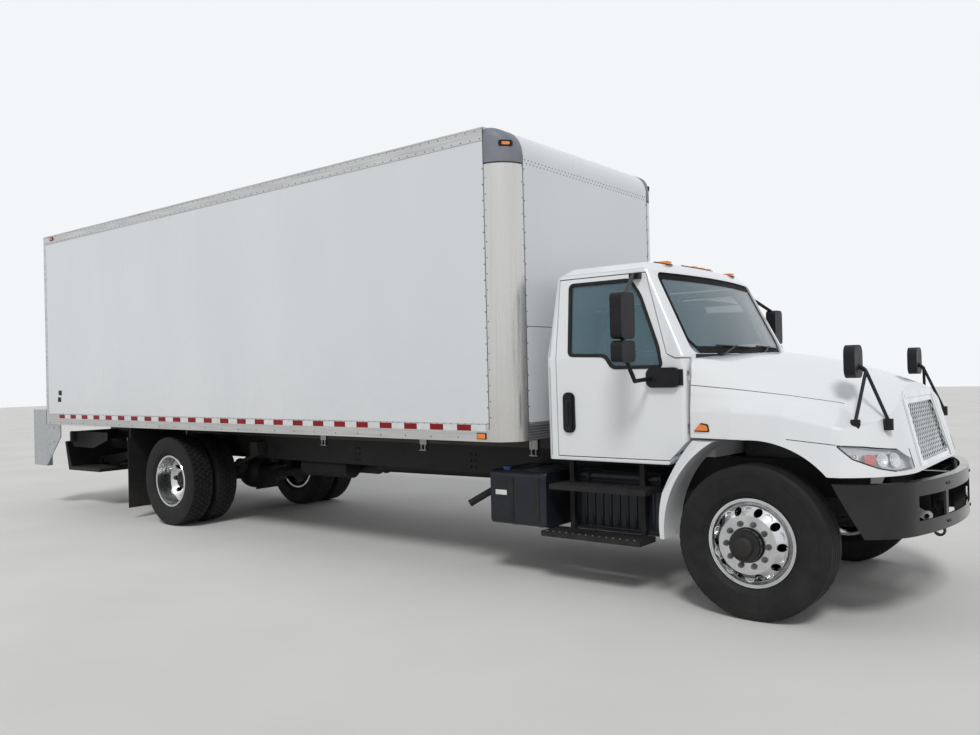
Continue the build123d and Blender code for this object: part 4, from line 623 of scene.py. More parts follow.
def add_sheet(bm: Mesh, rows: Sequence[Sequence[Point]], closed: bool = False) -> list[list]:
    """Add a sheet of faces through rows of points.

    Args:
        bm: The mesh.
        rows: Rows of points, all as long.
        closed: Whether the last row joins the first.

    Returns:
        The rows' vertices.
    """
    verts = [[bm.verts.new(point) for point in row] for row in rows]
    for first, second in zip(verts, verts[1:] + verts[:1] if closed else verts[1:]):
        for index in range(len(first) - 1):
            bm.faces.new((first[index], first[index + 1], second[index + 1], second[index]))
    return verts


def add_strip(bm: Mesh, rings: Sequence[Sequence[Point]], closed: bool) -> None:
    """Add a bar through rings of four points.

    Args:
        bm: The mesh.
        rings: The bar's sections.
        closed: Whether the last section joins the first, or else both are capped.
    """
    verts = [[bm.verts.new(point) for point in ring] for ring in rings]
    loops = [[bm.edges.new(pair) for pair in zip(ring, ring[1:] + ring[:1])] for ring in verts]
    for first, second in zip(loops, loops[1:] + loops[:1] if closed else loops[1:]):
        bmesh.ops.bridge_loops(bm, edges=first + second)
    if not closed:
        bm.faces.new(verts[0])
        bm.faces.new(verts[-1])


def add_ribbon(bm: Mesh, laid: Sequence[Laid], width: float, proud: float) -> None:
    """Add a flat strip along places on a surface.

    Args:
        bm: The mesh.
        laid: Places and normals.
        width: Width of the strip.
        proud: How far it stands out.
    """
    rings = []
    for index, (place, normal) in enumerate(laid):
        before = laid[max(index - 1, 0)][0]
        after = laid[min(index + 1, len(laid) - 1)][0]
        across = (after - before).cross(normal)
        if across.length < 1e-9:
            continue
        across = across.normalized() * width / 2
        top, foot = normal * proud, normal * -RIBBON_SUNK
        rings.append([place - across + foot, place - across + top,
                      place + across + top, place + across + foot])
    add_strip(bm, rings, closed=False)


def spaced(start: float, end: float, pitch: float) -> list[float]:
    """Even places from a start to an end, about a pitch apart."""
    count = max(1, round(abs(end - start) / pitch))
    return [start + (end - start) * index / count for index in range(count + 1)]


def turns(start: float, end: float, steps: int) -> list[float]:
    """Even angles in radians between two given in degrees."""
    low, high = math.radians(start), math.radians(end)
    return [low + (high - low) * index / steps for index in range(steps + 1)]


def rounded(corners: Sequence[Station], radius: float, steps: int = 5) -> list[Station]:
    """A closed outline with its corners rounded.

    Args:
        corners: Corners of the outline.
        radius: Radius of every corner.
        steps: Points on each corner.

    Returns:
        Points of the rounded outline.
    """
    bm = bmesh.new()
    bm.faces.new([bm.verts.new((x, y, 0.0)) for x, y in corners])
    bmesh.ops.bevel(bm, geom=bm.verts[:], offset=radius, segments=steps, profile=0.5,
                    affect="VERTICES", material=-1, clamp_overlap=True)
    bm.faces.ensure_lookup_table()
    points = [(loop.vert.co.x, loop.vert.co.y) for loop in bm.faces[0].loops]
    bm.free()
    return points


def pane(low: Station, high: Station, radius: float) -> list[Station]:
    """The outline of a rectangle between two corners, its corners rounded."""
    return rounded([low, (high[0], low[1]), high, (low[0], high[1])], radius)


class Surface:
    """The outer surface of some solids, to set seams, seals and rivets on."""

    def __init__(self, *nodes: str) -> None:
        """Read the solids' meshes as they stand at rest."""
        verts: list[Vector] = []
        faces: list[list[int]] = []
        for node in nodes:
            mesh = FRAME["nodes"][node].data
            base = len(verts)
            verts.extend(vert.co.copy() for vert in mesh.vertices)
            faces.extend([base + index for index in face.vertices] for face in mesh.polygons)
        self.tree = BVHTree.FromPolygons(verts, faces)

    def hit(self, origin: Point, way: Point) -> Optional[Laid]:
        """Where a line from a point first meets the surface.

        Args:
            origin: Start of the line.
            way: Its direction.

        Returns:
            The place and the normal turned towards the start, or nothing.
        """
        place, normal, _, _ = self.tree.ray_cast(Vector(origin), Vector(way).normalized())
        if place is None:
            return None
        return place, -normal if normal.dot(Vector(way)) > 0 else normal

    def beside(self, side: int, x: float, z: float) -> Optional[Laid]:
        """The place met from one side at a distance ahead of the front axle and a height."""
        return self.hit((ahead(x), side * OUTSIDE, z), (0, -side, 0))

    def before(self, y: float, z: float) -> Optional[Laid]:
        """The place met from in front."""
        return self.hit((IN_FRONT, y, z), (-1, 0, 0))

    def drape(self, points: Iterable[Point], way: Point, step: float) -> list[Laid]:
        """A line of points laid on the surface along a direction.

        Args:
            points: Corners of the line, outside the surface.
            way: Direction in which it is laid down.
            step: Longest run between two places.

        Returns:
            Places and normals along the line.
        """
        corners = [Vector(point) for point in points]
        laid = []
        for start, end in zip(corners, corners[1:]):
            count = max(1, math.ceil((end - start).length / step))
            for index in range(count + (1 if end is corners[-1] else 0)):
                laid.append(self.hit(start.lerp(end, index / count), way))
        return [found for found in laid if found is not None]

    def side_line(self, side: int, line: Iterable[Station], step: float = 0.03) -> list[Laid]:
        """A line of distances ahead of the front axle and heights, laid on from one side."""
        return self.drape([(ahead(x), side * OUTSIDE, z) for x, z in line], (0, -side, 0), step)

    def front_line(self, line: Iterable[Station], step: float = 0.03) -> list[Laid]:
        """A line of Y and heights, laid on from in front."""
        return self.drape([(IN_FRONT, y, z) for y, z in line], (-1, 0, 0), step)


class TyreKind(Enum):
    """Tread of a tyre: ribs to steer, lugs to drive."""

    RIBBED = "ribbed"
    LUGGED = "lugged"


@dataclass
class RoadTyre:
    """One tyre with its tread, spun about its axle."""

    x: float
    y: float
    kind: TyreKind
    side: int
    radius: float = 0.5179
    half_width: float = 0.1395
    tread_half: float = 0.10881
    bead_half: float = 0.1017
    bead_radius: float = 0.2865
    flange_radius: float = 0.2988
    wall: Outline = (
        (0.86, 0.322), (0.93, 0.34), (0.955, 0.343), (0.97, 0.36), (0.995, 0.39), (1.0, 0.412),
        (0.99, 0.436), (0.975, 0.446), (0.985, 0.45), (0.95, 0.468), (0.93, 0.488),
    )
    groove: float = 0.011
    groove_half: float = 0.0055
    ribs: int = 5
    lugs: int = 52
    lug_sink: float = 0.0009
    lug_skew: float = 12.0
    bar_size: Point = (0.022, 0.026, 0.006)
    bar_sink: float = 0.0142
    bar_lean: float = -62.0
    steps: int = 72

    def profile(self) -> list[Station]:
        """The section from bead to bead, with rings on the walls and grooves in the tread.

        Returns:
            Distance across the tyre and radius of each point.
        """
        half, top, edge = self.half_width, self.radius, self.tread_half
        wall = [(self.bead_half, self.bead_radius), (self.bead_half, self.flange_radius)]
        wall += [(half * share, radius) for share, radius in self.wall]
        wall += [(half * 0.9, top - 0.014), (half * 0.82, top - 0.004)]
        tread = [(edge, top)]
        for rib in range(1, self.ribs):
            middle = edge - rib * 2 * edge / self.ribs
            tread += [(middle + self.groove_half * across, top - self.groove * deep)
                      for across, deep in ((1.0, 0), (0.6, 1), (-0.6, 1), (-1.0, 0))]
        tread.append((-edge, top))
        return wall + tread + [(-across, radius) for across, radius in reversed(wall)]

    def add_to(self, bm: Mesh) -> None:
        """Add the tyre's carcass and its shoulder bars or its lugs.

        Args:
            bm: The mesh.
        """
        origin = (self.x, self.side * self.y, AXLE_Z)
        profile = self.profile()
        if self.kind is TyreKind.LUGGED:
            profile = [(across, min(radius, self.radius - self.groove)) for across, radius in profile]
        add_lathe(bm, profile, origin, (0, self.side, 0), self.steps, closed=True)
        if self.kind is TyreKind.LUGGED:
            self._add_lugs(bm)
        else:
            self._add_shoulder_bars(bm)

    def _add_ring(self, bm: Mesh, start: float, place: Point, size: Point, lean: Matrix) -> None:
        """Add a plain lump of rubber at every pitch about the axle.

        Args:
            bm: The mesh.
            start: Turn of the first lump, in pitches.
            place: Its middle, with Y along the axle and Z out from it.
            size: Its three lengths.
            lean: Its turn about its middle.
        """
        origin = Matrix.Translation((self.x, self.side * self.y, AXLE_Z))
        lump = Matrix.Translation(place) @ lean @ Matrix.Diagonal((*size, 1.0))
        for index in range(self.lugs):
            turn = Matrix.Rotation(math.tau / self.lugs * (index + start), 4, "Y")
            bmesh.ops.create_cube(bm, size=1.0, matrix=origin @ turn @ lump)

    def _add_lugs(self, bm: Mesh) -> None:
        """Add the drive tread's blocks, row by row, each row turned half a pitch on.

        Args:
            bm: The mesh.
        """
        width = 2 * self.tread_half / self.ribs
        long = self.radius * math.tau / self.lugs
        for rib in range(self.ribs):
            outer = rib in (0, self.ribs - 1)
            size = (long * 0.78, width * (1.0 if outer else 0.84), self.groove + 0.006)
            place = (0, -self.tread_half + (rib + 0.5) * width,
                     self.radius - self.lug_sink - size[2] / 2)
            lean = tilted(0 if outer else self.lug_skew * (-1) ** rib, "Z")
            self._add_ring(bm, 0.5 if rib % 2 else 0.0, place, size, lean)

    def _add_shoulder_bars(self, bm: Mesh) -> None:
        """Add the short bars on a steer tyre's shoulders.

        Args:
            bm: The mesh.
        """
        for end in SIDES:
            place = (0, end * self.half_width * 0.845, self.radius - self.bar_sink)
            self._add_ring(bm, 0.0, place, self.bar_size, tilted(end * self.bar_lean, "X"))


@dataclass
class RunningGear:
    """Wheels, tyres, brakes and springs."""

    front_y: float = 1.070
    rear_outer_y: float = 1.089
    rear_inner_y: float = 0.769
    rear_disc_y: float = 0.929
    disc_offset: float = 0.160
    disc_thickness: float = 0.022
    bolt_circle: float = 0.1429
    bolt_count: int = 10
    rim_half: float = 0.112
    rim_edge: Outline = (
        (-0.01, 0.2975), (-0.008, 0.3005), (-0.002, 0.301), (0.002, 0.298), (0.002, 0.292),
        (-0.002, 0.288),
    )
    hand_hole_circle: float = 0.222
    hand_hole: float = 0.027
    hole_ring: Outline = (
        (0.0, 0.005), (0.004, 0.004), (0.005, 0.001), (0.003, -0.001), (-0.008, -0.001),
    )
    nut: Station = (0.0165, 0.024)
    oil_cap: Outline = (
        (0.0, 0.1), (0.012, 0.1), (0.014, 0.066), (0.05, 0.062), (0.058, 0.052), (0.06, 0.03),
        (0.066, 0.028), (0.068, 0.0),
    )
    axle_flange: Outline = (
        (0.088, 0.108), (0.112, 0.1), (0.126, 0.096), (0.128, 0.05), (0.14, 0.045), (0.142, 0.0),
    )
    clamps: Rows = (
        (FRONT_AXLE_X, 0.39, 0.035, 0.440, 0.572), (REAR_AXLE_X, 0.5, 0.045, 0.430, 0.682),
    )
    chamber: Outline = (
        (0.0, 0.0), (0.0, 0.05), (0.02, 0.075), (0.06, 0.078), (0.064, 0.084), (0.074, 0.084),
        (0.078, 0.078), (0.13, 0.078), (0.15, 0.06), (0.155, 0.0),
    )

    def make(self) -> None:
        """Build every piece of the running gear."""
        for side in SIDES:
            self.tyres(side)
            self.front_hub(side)
            self.rear_hub(side)
            self.rims(side)
        self.axle_clamps()
        self.brake_chambers()
        self.dampers()

    def tyres(self, side: int) -> None:
        """Build the steer tyre and the twin drive tyres of one side.

        Args:
            side: The side.
        """
        name = side_name(side)
        bm = bmesh.new()
        RoadTyre(FRONT_AXLE_X, self.front_y, TyreKind.RIBBED, side).add_to(bm)
        steer = build(f"steer_tyre_{name}", bm, RUBBER, f"wheel_front_{name}")
        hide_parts(f"front_tyre_{name}")
        bm = bmesh.new()
        for distance in (self.rear_outer_y, self.rear_inner_y):
            RoadTyre(REAR_AXLE_X, distance, TyreKind.LUGGED, side).add_to(bm)
        drive = build(f"drive_tyres_{name}", bm, RUBBER, f"wheels_rear_{name}")
        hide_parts(f"rear_tyres_{name}")

    def _nuts(self, bm: Mesh, foot: Point, circle: float, count: int, flat: float,
              height: float) -> None:
        """Add a ring of hexagon nuts with washers and stud ends.

        Args:
            bm: The mesh.
            foot: X and Y of the ring's middle, and the side that it faces.
            circle: Radius of the ring.
            count: Number of nuts.
            flat: Radius of a nut.
            height: Height of a nut.
        """
        x, face, side = foot
        for index in range(count):
            turn = math.tau * (index + 0.5) / count
            along = x + circle * math.sin(turn)
            up = AXLE_Z + circle * math.cos(turn)
            for reach, radius, segments in ((0.004, flat * 1.25, 12), (height, flat, 6),
                                            (height * 1.5, flat * 0.5, 8)):
                add_rod(bm, (along, side * face, up), (along, side * (face + reach), up), radius,
                        segments)

    def front_hub(self, side: int) -> None:
        """Build one front hub's nuts, flange bolts and oil cap.

        Args:
            side: The side.
        """
        name = side_name(side)
        body = f"wheel_front_{name}"
        face = self.front_y + self.disc_offset + self.disc_thickness
        bm = bmesh.new()
        self._nuts(bm, (FRONT_AXLE_X, face, side), self.bolt_circle, self.bolt_count, *self.nut)
        self._nuts(bm, (FRONT_AXLE_X, face + 0.04, side), 0.078, 6, 0.007, 0.006)
        build(f"front_nuts_{name}", bm, RIVET, body)
        bm = bmesh.new()
        add_lathe(bm, self.oil_cap, (FRONT_AXLE_X, side * (face + 0.039), AXLE_Z), (0, side, 0), 40)
        build(f"front_oil_cap_{name}", bm, CAST_BLACK, body)

    def rear_hub(self, side: int) -> None:
        """Build one rear hub's nuts, axle flange and its bolts.

        Args:
            side: The side.
        """
        name = side_name(side)
        body = f"wheels_rear_{name}"
        bm = bmesh.new()
        self._nuts(bm, (REAR_AXLE_X, self.rear_disc_y + self.disc_thickness - 0.001, side),
                   self.bolt_circle, self.bolt_count, *self.nut)
        self._nuts(bm, (REAR_AXLE_X, self.rear_disc_y + 0.125, side), 0.075, 8, 0.009, 0.009)
        build(f"rear_nuts_{name}", bm, RIVET, body)
        bm = bmesh.new()
        middle = (REAR_AXLE_X, side * self.rear_disc_y, AXLE_Z)
        add_lathe(bm, self.axle_flange, middle, (0, side, 0), 40)
        build(f"rear_axle_flange_{name}", bm, CAST_BLACK, body)

    def rims(self, side: int) -> None:
        """Build the bright rolled edges, the hand hole rings and the valve of one side's rims.

        Args:
            side: The side.
        """
        for end, x, y in (("front", FRONT_AXLE_X, self.front_y),
                          ("rear", REAR_AXLE_X, self.rear_outer_y)):
            bm = bmesh.new()
            add_lathe(bm, [(self.rim_half + along, radius) for along, radius in self.rim_edge],
                      (x, side * y, AXLE_Z), (0, side, 0), 72, closed=True)
            body = "wheels_rear"
            if end == "front":
                self._hole_rings(bm, side)
                valve = y + self.disc_offset + 0.0012
                add_rod(bm, (x + 0.245, side * (valve - 0.06), AXLE_Z),
                        (x + 0.252, side * (valve - 0.005), AXLE_Z), 0.004, 8)
                body = "wheel_front"
            build(f"{end}_rim_edge_{side_name(side)}", bm, CHROME,
                  f"{body}_{side_name(side)}")

    def _hole_rings(self, bm: Mesh, side: int) -> None:
        """Add a chamfered ring about each hand hole of a front wheel, leaning with the disc.

        Args:
            bm: The mesh.
            side: The side.
        """
        middle = Vector((FRONT_AXLE_X, side * (self.front_y + 0.150), AXLE_Z))
        profile = [(along, self.hand_hole + more) for along, more in self.hole_ring]
        for index in range(self.bolt_count):
            turn = math.tau * index / self.bolt_count
            out = Vector((math.sin(turn), 0.0, math.cos(turn)))
            way = (Vector((0, side, 0)) + out * 0.26).normalized()
            add_lathe(bm, profile, middle + out * self.hand_hole_circle, way, 20, closed=True)

    def axle_clamps(self) -> None:
        """Build the U bolts that clamp springs to axles."""
        bm = bmesh.new()
        for x, spring_y, half, low, high in self.clamps:
            for side in SIDES:
                y, grip = side * spring_y, half + 0.009
                for at in (x - 0.062, x + 0.062):
                    for leg in (y - grip, y + grip):
                        add_rod(bm, (at, leg, low), (at, leg, high), 0.008, 10)
                    add_rod(bm, (at, y - grip, high), (at, y + grip, high), 0.008, 10)
                add_block(bm, (x, y, high - 0.012), (0.15, 2 * half - 0.004, 0.016), 0.003)
        build("spring_clamps", bm, CAST_BLACK)

    def brake_chambers(self) -> None:
        """Build the rear brake chambers on the axle's housing."""
        bm = bmesh.new()
        for side in SIDES:
            origin = (REAR_AXLE_X + 0.13, side * 0.33, AXLE_Z + 0.03)
            add_lathe(bm, self.chamber, origin, (0.35, 0, 0.94), 28)
            add_rod(bm, (REAR_AXLE_X + 0.05, side * 0.33, AXLE_Z + 0.02), origin, 0.03, 12)
        build("brake_chambers", bm, CAST_BLACK)

    def dampers(self) -> None:
        """Build the front shock absorbers between axle and rails."""
        bm = bmesh.new()
        for side in SIDES:
            foot = Vector((FRONT_AXLE_X - 0.055, side * 0.47, 0.50))
            top = Vector((FRONT_AXLE_X - 0.2, side * 0.47, 0.86))
            middle = foot.lerp(top, 0.5)
            add_rod(bm, foot, middle, 0.03, 18)
            add_rod(bm, middle, top, 0.036, 18)
            for end in (top, foot):
                add_rod(bm, (end.x, side * 0.425, end.z), (end.x, side * 0.5, end.z), 0.02, 12)
            add_block(bm, (foot.x, side * 0.44, foot.z - 0.025), (0.05, 0.05, 0.06), 0.004)
        build("front_dampers", bm, FRAME_BLACK)


@dataclass
class VanBody:
    """Rivets, tape, seams and rear fittings of the cargo body."""

    rail_low: float = 1.133
    rail_high: float = 1.282
    top_rail: float = 3.585
    edge_z: float = 3.695
    cap_low: float = 3.393
    wall_top: float = 3.466
    corner_radius: float = 0.229
    tape_pitch: float = 0.3048
    tape_length: float = 0.1524
    tape_first: float = -4.809
    tape_z: float = 1.246
    tape_height: float = 0.05
    tape_thickness: float = 0.0008
    tape_count: int = 24
    rivet_pitch: float = 0.1016
    wall_seam_z: float = 2.068
    lamp_row_z: float = 1.208
    grab: Outline = ((0.0, 1.62), (0.05, 1.64), (0.05, 1.96), (0.0, 1.98))
    door_top: float = 3.505
    slats: int = 9
    cap_bend: float = 0.075
    cap_lamp_turn: float = 41.0
    cap_lamp_z: float = 3.545
    cap_lamp_band: Station = (3.5, 3.62)

    def make(self) -> None:
        """Build every piece of the cargo body's dress."""
        self.rivets()
        self.tape()
        self.rail_lips()
        self.seams()
        self.front_sill()
        self.corner_caps()
        self.other_ambers()
        self.side_plates()
        self.door_fittings()
        self.rear_plates()
        self.lamp_bezels()

    def rivets(self) -> None:
        """Build the rows of rivets on rails, header and corner posts."""
        bm = bmesh.new()
        rear = BOX_REAR_X + 0.10
        for side in SIDES:
            y, wall = side * BOX_HALF_WIDTH, side * (WALL_HALF_WIDTH - 0.014)
            for start, end, pitch, z, radius, height in (
                (0.0, 0.03, self.rivet_pitch, self.top_rail + 0.016, 0.007, 0.003),
                (0.05, 0.08, self.rivet_pitch, self.top_rail + 0.085, 0.006, 0.003),
                (0.0, 0.03, self.rivet_pitch * 0.75, self.rail_high - 0.0055, 0.0055, 0.003),
                (0.0, 0.03, self.rivet_pitch * 3, self.rail_low + 0.03, 0.008, 0.004),
            ):
                for x in spaced(rear + start, PANEL_FRONT_X - end, pitch):
                    add_rivet(bm, (x, y, z), (0, side, 0), radius, height)
            for z in spaced(self.rail_high, self.cap_low - 0.04, 0.13):
                add_rivet(bm, (PANEL_FRONT_X - 0.014, y - side * 0.003, z), (0, side, 0))
                add_rivet(bm, *self._on_post(math.radians(86), z + 0.05, side), 0.006)
                add_rivet(bm, *self._on_post(math.radians(4), z + 0.02, side), 0.006)
                add_rivet(bm, (BOX_FRONT_X, wall, z), (1, 0, 0))
        for y in spaced(-WALL_HALF_WIDTH + 0.03, WALL_HALF_WIDTH - 0.03, self.rivet_pitch / 2):
            add_rivet(bm, (BOX_FRONT_X, y, self.wall_top - 0.034), (1, 0, 0), 0.0065)
            if y < WALL_HALF_WIDTH - 0.06:
                add_rivet(bm, (BOX_FRONT_X, y + self.rivet_pitch / 4, self.wall_top - 0.062),
                          (1, 0, 0), 0.0065)
        build("body_rivets", bm, RIVET)

    def _on_post(self, turn: float, z: float, side: int) -> tuple[Point, Point]:
        """A place on a corner post.

        Args:
            turn: Its turn back from the front, in radians.
            z: Its height.
            side: The side.

        Returns:
            The place and its outward way.
        """
        way = (math.cos(turn), side * math.sin(turn), 0.0)
        at = (PANEL_FRONT_X + self.corner_radius * way[0],
              side * WALL_HALF_WIDTH + self.corner_radius * way[1], z)
        return at, way

    def tape(self) -> None:
        """Build the red and white tape along both bottom rails and across the rear."""
        red, white = bmesh.new(), bmesh.new()
        step, height, thin = self.tape_length, self.tape_height, self.tape_thickness
        for side in SIDES:
            y = side * (BOX_HALF_WIDTH + 0.0003)
            for index in range(self.tape_count):
                x = self.tape_first + index * self.tape_pitch
                add_block(red, (x, y, self.tape_z), (step, thin, height))
                add_block(white, (x + step, y, self.tape_z), (step, thin, height))
        x, z = BOX_REAR_X + 0.0247, self.rail_high + 0.16
        for index in range(-3, 4):
            y = index * self.tape_pitch
            add_block(red, (x, y, z), (thin, step, height))
            add_block(white, (x, y + step, z), (thin, step, height))
        x = BOX_REAR_X - 0.0003
        for side in SIDES:
            add_block(white, (x, side * (BOX_HALF_WIDTH - 0.18), self.edge_z - 0.05),
                      (thin, 0.3, height))
            add_block(white, (x, side * (BOX_HALF_WIDTH - 0.035), self.edge_z - 0.225),
                      (thin, height, 0.3))
        build("tape_red", red, TAPE_RED)
        build("tape_white", white, TAPE_WHITE)

    def rail_lips(self) -> None:
        """Build the lips and ribs that the drawn rails carry along their length."""
        bm = bmesh.new()
        start = BOX_REAR_X + 0.062
        for side in SIDES:
            for z, height, proud in ((self.rail_low + 0.004, 0.008, 0.004),
                                     (self.rail_low + 0.078, 0.005, 0.002),
                                     (self.rail_high - 0.001, 0.003, 0.0025),
                                     (self.top_rail + 0.002, 0.004, 0.002),
                                     (self.edge_z - 0.008, 0.012, 0.004)):
                place = ((PANEL_FRONT_X + start) / 2, side * (BOX_HALF_WIDTH + proud / 2 - 0.001), z)
                add_block(bm, place, (PANEL_FRONT_X - start, proud + 0.002, height), 0.001)
        build("rail_lips", bm, MILL)

    def seams(self) -> None:
        """Build the dark joints about posts, caps and front wall."""
        bm = bmesh.new()
        middle = (self.rail_low + self.cap_low) / 2
        tall = self.cap_low - self.rail_low
        for side in SIDES:
            post, wall, face = side * BOX_HALF_WIDTH, side * WALL_HALF_WIDTH, BOX_FRONT_X - 0.0005
            add_block(bm, (PANEL_FRONT_X, post - side * 0.0012, middle + 0.05),
                      (0.006, 0.004, tall - 0.1))
            add_block(bm, (face, wall, middle), (0.003, 0.007, tall))
            add_block(bm, (PANEL_FRONT_X, post - side * 0.0005, 3.54), (0.007, 0.004, 0.29))
            add_block(bm, (face, wall, 3.43), (0.003, 0.008, 0.075))
            ring = [self._on_post(turn, self.cap_low, side) for turn in turns(0, 90, 14)]
            add_ribbon(bm, [(Vector(at), Vector(way)) for at, way in ring], 0.012, 0.0012)
        add_block(bm, (BOX_FRONT_X, 0, self.wall_seam_z), (0.002, 2 * WALL_HALF_WIDTH - 0.02, 0.005))
        build("body_seams", bm, SEAM)

    def front_sill(self) -> None:
        """Build the ribbed sill along the foot of the front wall."""
        bm = bmesh.new()
        rib = (0.01, 2 * WALL_HALF_WIDTH - 0.01, 0.01)
        for index in range(6):
            z = self.rail_low + 0.012 + index * 0.022
            add_block(bm, (BOX_FRONT_X + 0.003, 0, z), rib, 0.002)
        add_block(bm, (BOX_FRONT_X + 0.0005, 0, self.rail_low + 0.066),
                  (0.003, 2 * WALL_HALF_WIDTH - 0.006, 0.132))
        build("front_sill", bm, TRIM)

    def corner_caps(self) -> None:
        """Build each corner's moulded cap, its lamp pocket and its lamp."""
        reach = self.corner_radius + 0.001
        for side in SIDES:
            bm = bmesh.new()
            add_sheet(bm, [[(PANEL_FRONT_X + reach * math.sin(turn), side * y, z)
                            for y, z in self._cap_section(reach * math.cos(turn))]
                           for turn in turns(0, 90, 14)])
            bmesh.ops.remove_doubles(bm, verts=bm.verts, dist=1e-5)
            bmesh.ops.recalc_face_normals(bm, faces=bm.faces)
            bmesh.ops.solidify(bm, geom=bm.faces[:], thickness=0.003)
            cap = build(f"corner_cap_{side_name(side)}", bm, CAP, sharp=60.0)
            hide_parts("box_corner_caps")
            self._cap_lamp(side)

    def _cap_section(self, reach: float) -> list[Station]:
        """One section of a corner cap.

        Args:
            reach: How far the section stands out from the post's axis.

        Returns:
            Points of the roof's line, a rounded corner and the post's line.
        """
        y_out, z_out, low = WALL_HALF_WIDTH + reach, self.wall_top + reach, self.cap_low
        bend = min(self.cap_bend, reach * 0.8)
        points = [(WALL_HALF_WIDTH - 0.002, z_out), (WALL_HALF_WIDTH + (reach - bend) * 0.5, z_out)]
        points += [(y_out - bend + bend * math.sin(turn), z_out - bend + bend * math.cos(turn))
                   for turn in turns(0, 90, 6)]
        return points + [(y_out, low + (z_out - bend - low) * share) for share in (0.66, 0.33, 0.0)]

    def other_ambers(self) -> None:
        """Copy the amber lamps without the corner caps' two, which are built in their pockets."""
        low, high = self.cap_lamp_band
        bm = bmesh.new()
        bm.from_mesh(FRAME["nodes"]["amber_lamps"].data)
        bmesh.ops.delete(bm, geom=[vert for vert in bm.verts if low < vert.co.z < high],
                         context="VERTS")
        lamps = build("amber_lamps_low", bm, AMBER)
        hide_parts("amber_lamps")

    def _cap_lamp(self, side: int) -> None:
        """Build the oval lamp in its pocket on one corner cap.

        Args:
            side: The side.
        """
        turn = math.radians(self.cap_lamp_turn)
        way = Vector((math.cos(turn), side * math.sin(turn), 0.0))
        along = Vector((-math.sin(turn), side * math.cos(turn), 0.0))
        foot = Vector((PANEL_FRONT_X, side * WALL_HALF_WIDTH, self.cap_lamp_z))
        foot += way * (self.corner_radius - 0.012)
        for label, half, high, thick, finish, slot in (
            ("pocket", 0.060, 0.026, 0.013, PLASTIC, "black_plastic"),
            ("lens", 0.034, 0.012, 0.016, AMBER, "amber_lens"),
        ):
            bm = bmesh.new()
            outline = pane((-half, -high), (half, high), high * 0.8)
            add_plate(bm, [foot + along * a + Vector((0, 0, b)) for a, b in outline], way * thick)
            build(f"cap_lamp_{label}_{side_name(side)}", bm, finish)

    def side_plates(self) -> None:
        """Build the two small dark blank plates low on the kerb side's rear."""
        bm = bmesh.new()
        for x, z in ((-4.858, 1.562), (-4.878, 1.472)):
            add_block(bm, (x, -BOX_HALF_WIDTH + 0.0005, z), (0.085, 0.003, 0.062), 0.001)
        build("blank_side_plates", bm, SEAL)

    def door_fittings(self) -> None:
        """Build hinges, rollers, latch and pull strap plate of the roll-up door."""
        face = BOX_REAR_X + 0.025
        height = (self.door_top - self.rail_high) / self.slats
        bm = bmesh.new()
        for seam in range(1, self.slats):
            z = self.rail_high + seam * height
            for y in (-1.17, -0.42, 0.42, 1.17):
                add_block(bm, (face - 0.002, y, z), (0.005, 0.075, 0.085), 0.0015)
                add_rod(bm, (face - 0.006, y - 0.04, z), (face - 0.006, y + 0.04, z), 0.006, 10)
                for corner in SIDES:
                    for edge in SIDES:
                        add_rivet(bm, (face - 0.0045, y + corner * 0.026, z + edge * 0.03),
                                  (-1, 0, 0), 0.006)
        low = self.rail_high + 0.08
        add_block(bm, (face - 0.003, 0, low + 0.12), (0.006, 0.2, 0.16), 0.002)
        add_block(bm, (face - 0.012, 0, low + 0.12), (0.02, 0.05, 0.1), 0.004)
        add_path(bm, [(face - 0.014, -0.03, low + 0.07), (face - 0.016, 0.0, low + 0.03),
                      (face - 0.014, 0.03, low + 0.07)], 0.006)
        for side in SIDES:
            add_block(bm, (face - 0.003, side * 1.205, (low + self.door_top) / 2),
                      (0.006, 0.024, self.door_top - low), 0.002)
        build("roll_door_fittings", bm, GALVANISED)
        bm = bmesh.new()
        add_block(bm, (face - 0.002, 0, self.rail_high + 0.012), (0.012, 2.42, 0.024), 0.003)
        build("roll_door_seal", bm, SEAL)

    def rear_plates(self) -> None:
        """Build the blank licence plate, the frame's rivets and the grab handles at the rear."""
        bm = bmesh.new()
        for side in SIDES:
            for z in spaced(self.rail_high + 0.05, self.edge_z - 0.06, 0.18):
                add_rivet(bm, (BOX_REAR_X, side * 1.258, z), (-1, 0, 0))
            add_path(bm, [(BOX_REAR_X - out, side * 1.245, z) for out, z in self.grab], 0.011)
        for y in spaced(-1.1, 1.1, 0.2):
            add_rivet(bm, (BOX_REAR_X, y, self.door_top + 0.03), (-1, 0, 0))
        build("rear_frame_fittings", bm, GALVANISED)
        bm = bmesh.new()
        add_block(bm, (BOX_REAR_X - 0.003, -0.62, self.lamp_row_z), (0.004, 0.305, 0.142), 0.001)
        build("blank_plate", bm, TAPE_WHITE)

    def lamp_bezels(self) -> None:
        """Build the dark bases about the body's lamps."""
        bm = bmesh.new()
        outline = pane((-0.08, -0.037), (0.08, 0.037), 0.02)
        for side in SIDES:
            for y in (0.9, 1.08):
                add_plate(bm, [(BOX_REAR_X, side * y + a, self.lamp_row_z + b) for a, b in outline],
                          (-0.006, 0, 0))
            y = side * (BOX_HALF_WIDTH + 0.002)
            add_block(bm, (PANEL_FRONT_X - 0.08, y, 1.18), (0.1, 0.004, 0.054), 0.0015)
            add_block(bm, (BOX_REAR_X + 0.24, y, 3.6475), (0.098, 0.004, 0.05), 0.0015)
        build("lamp_bezels", bm, PLASTIC)


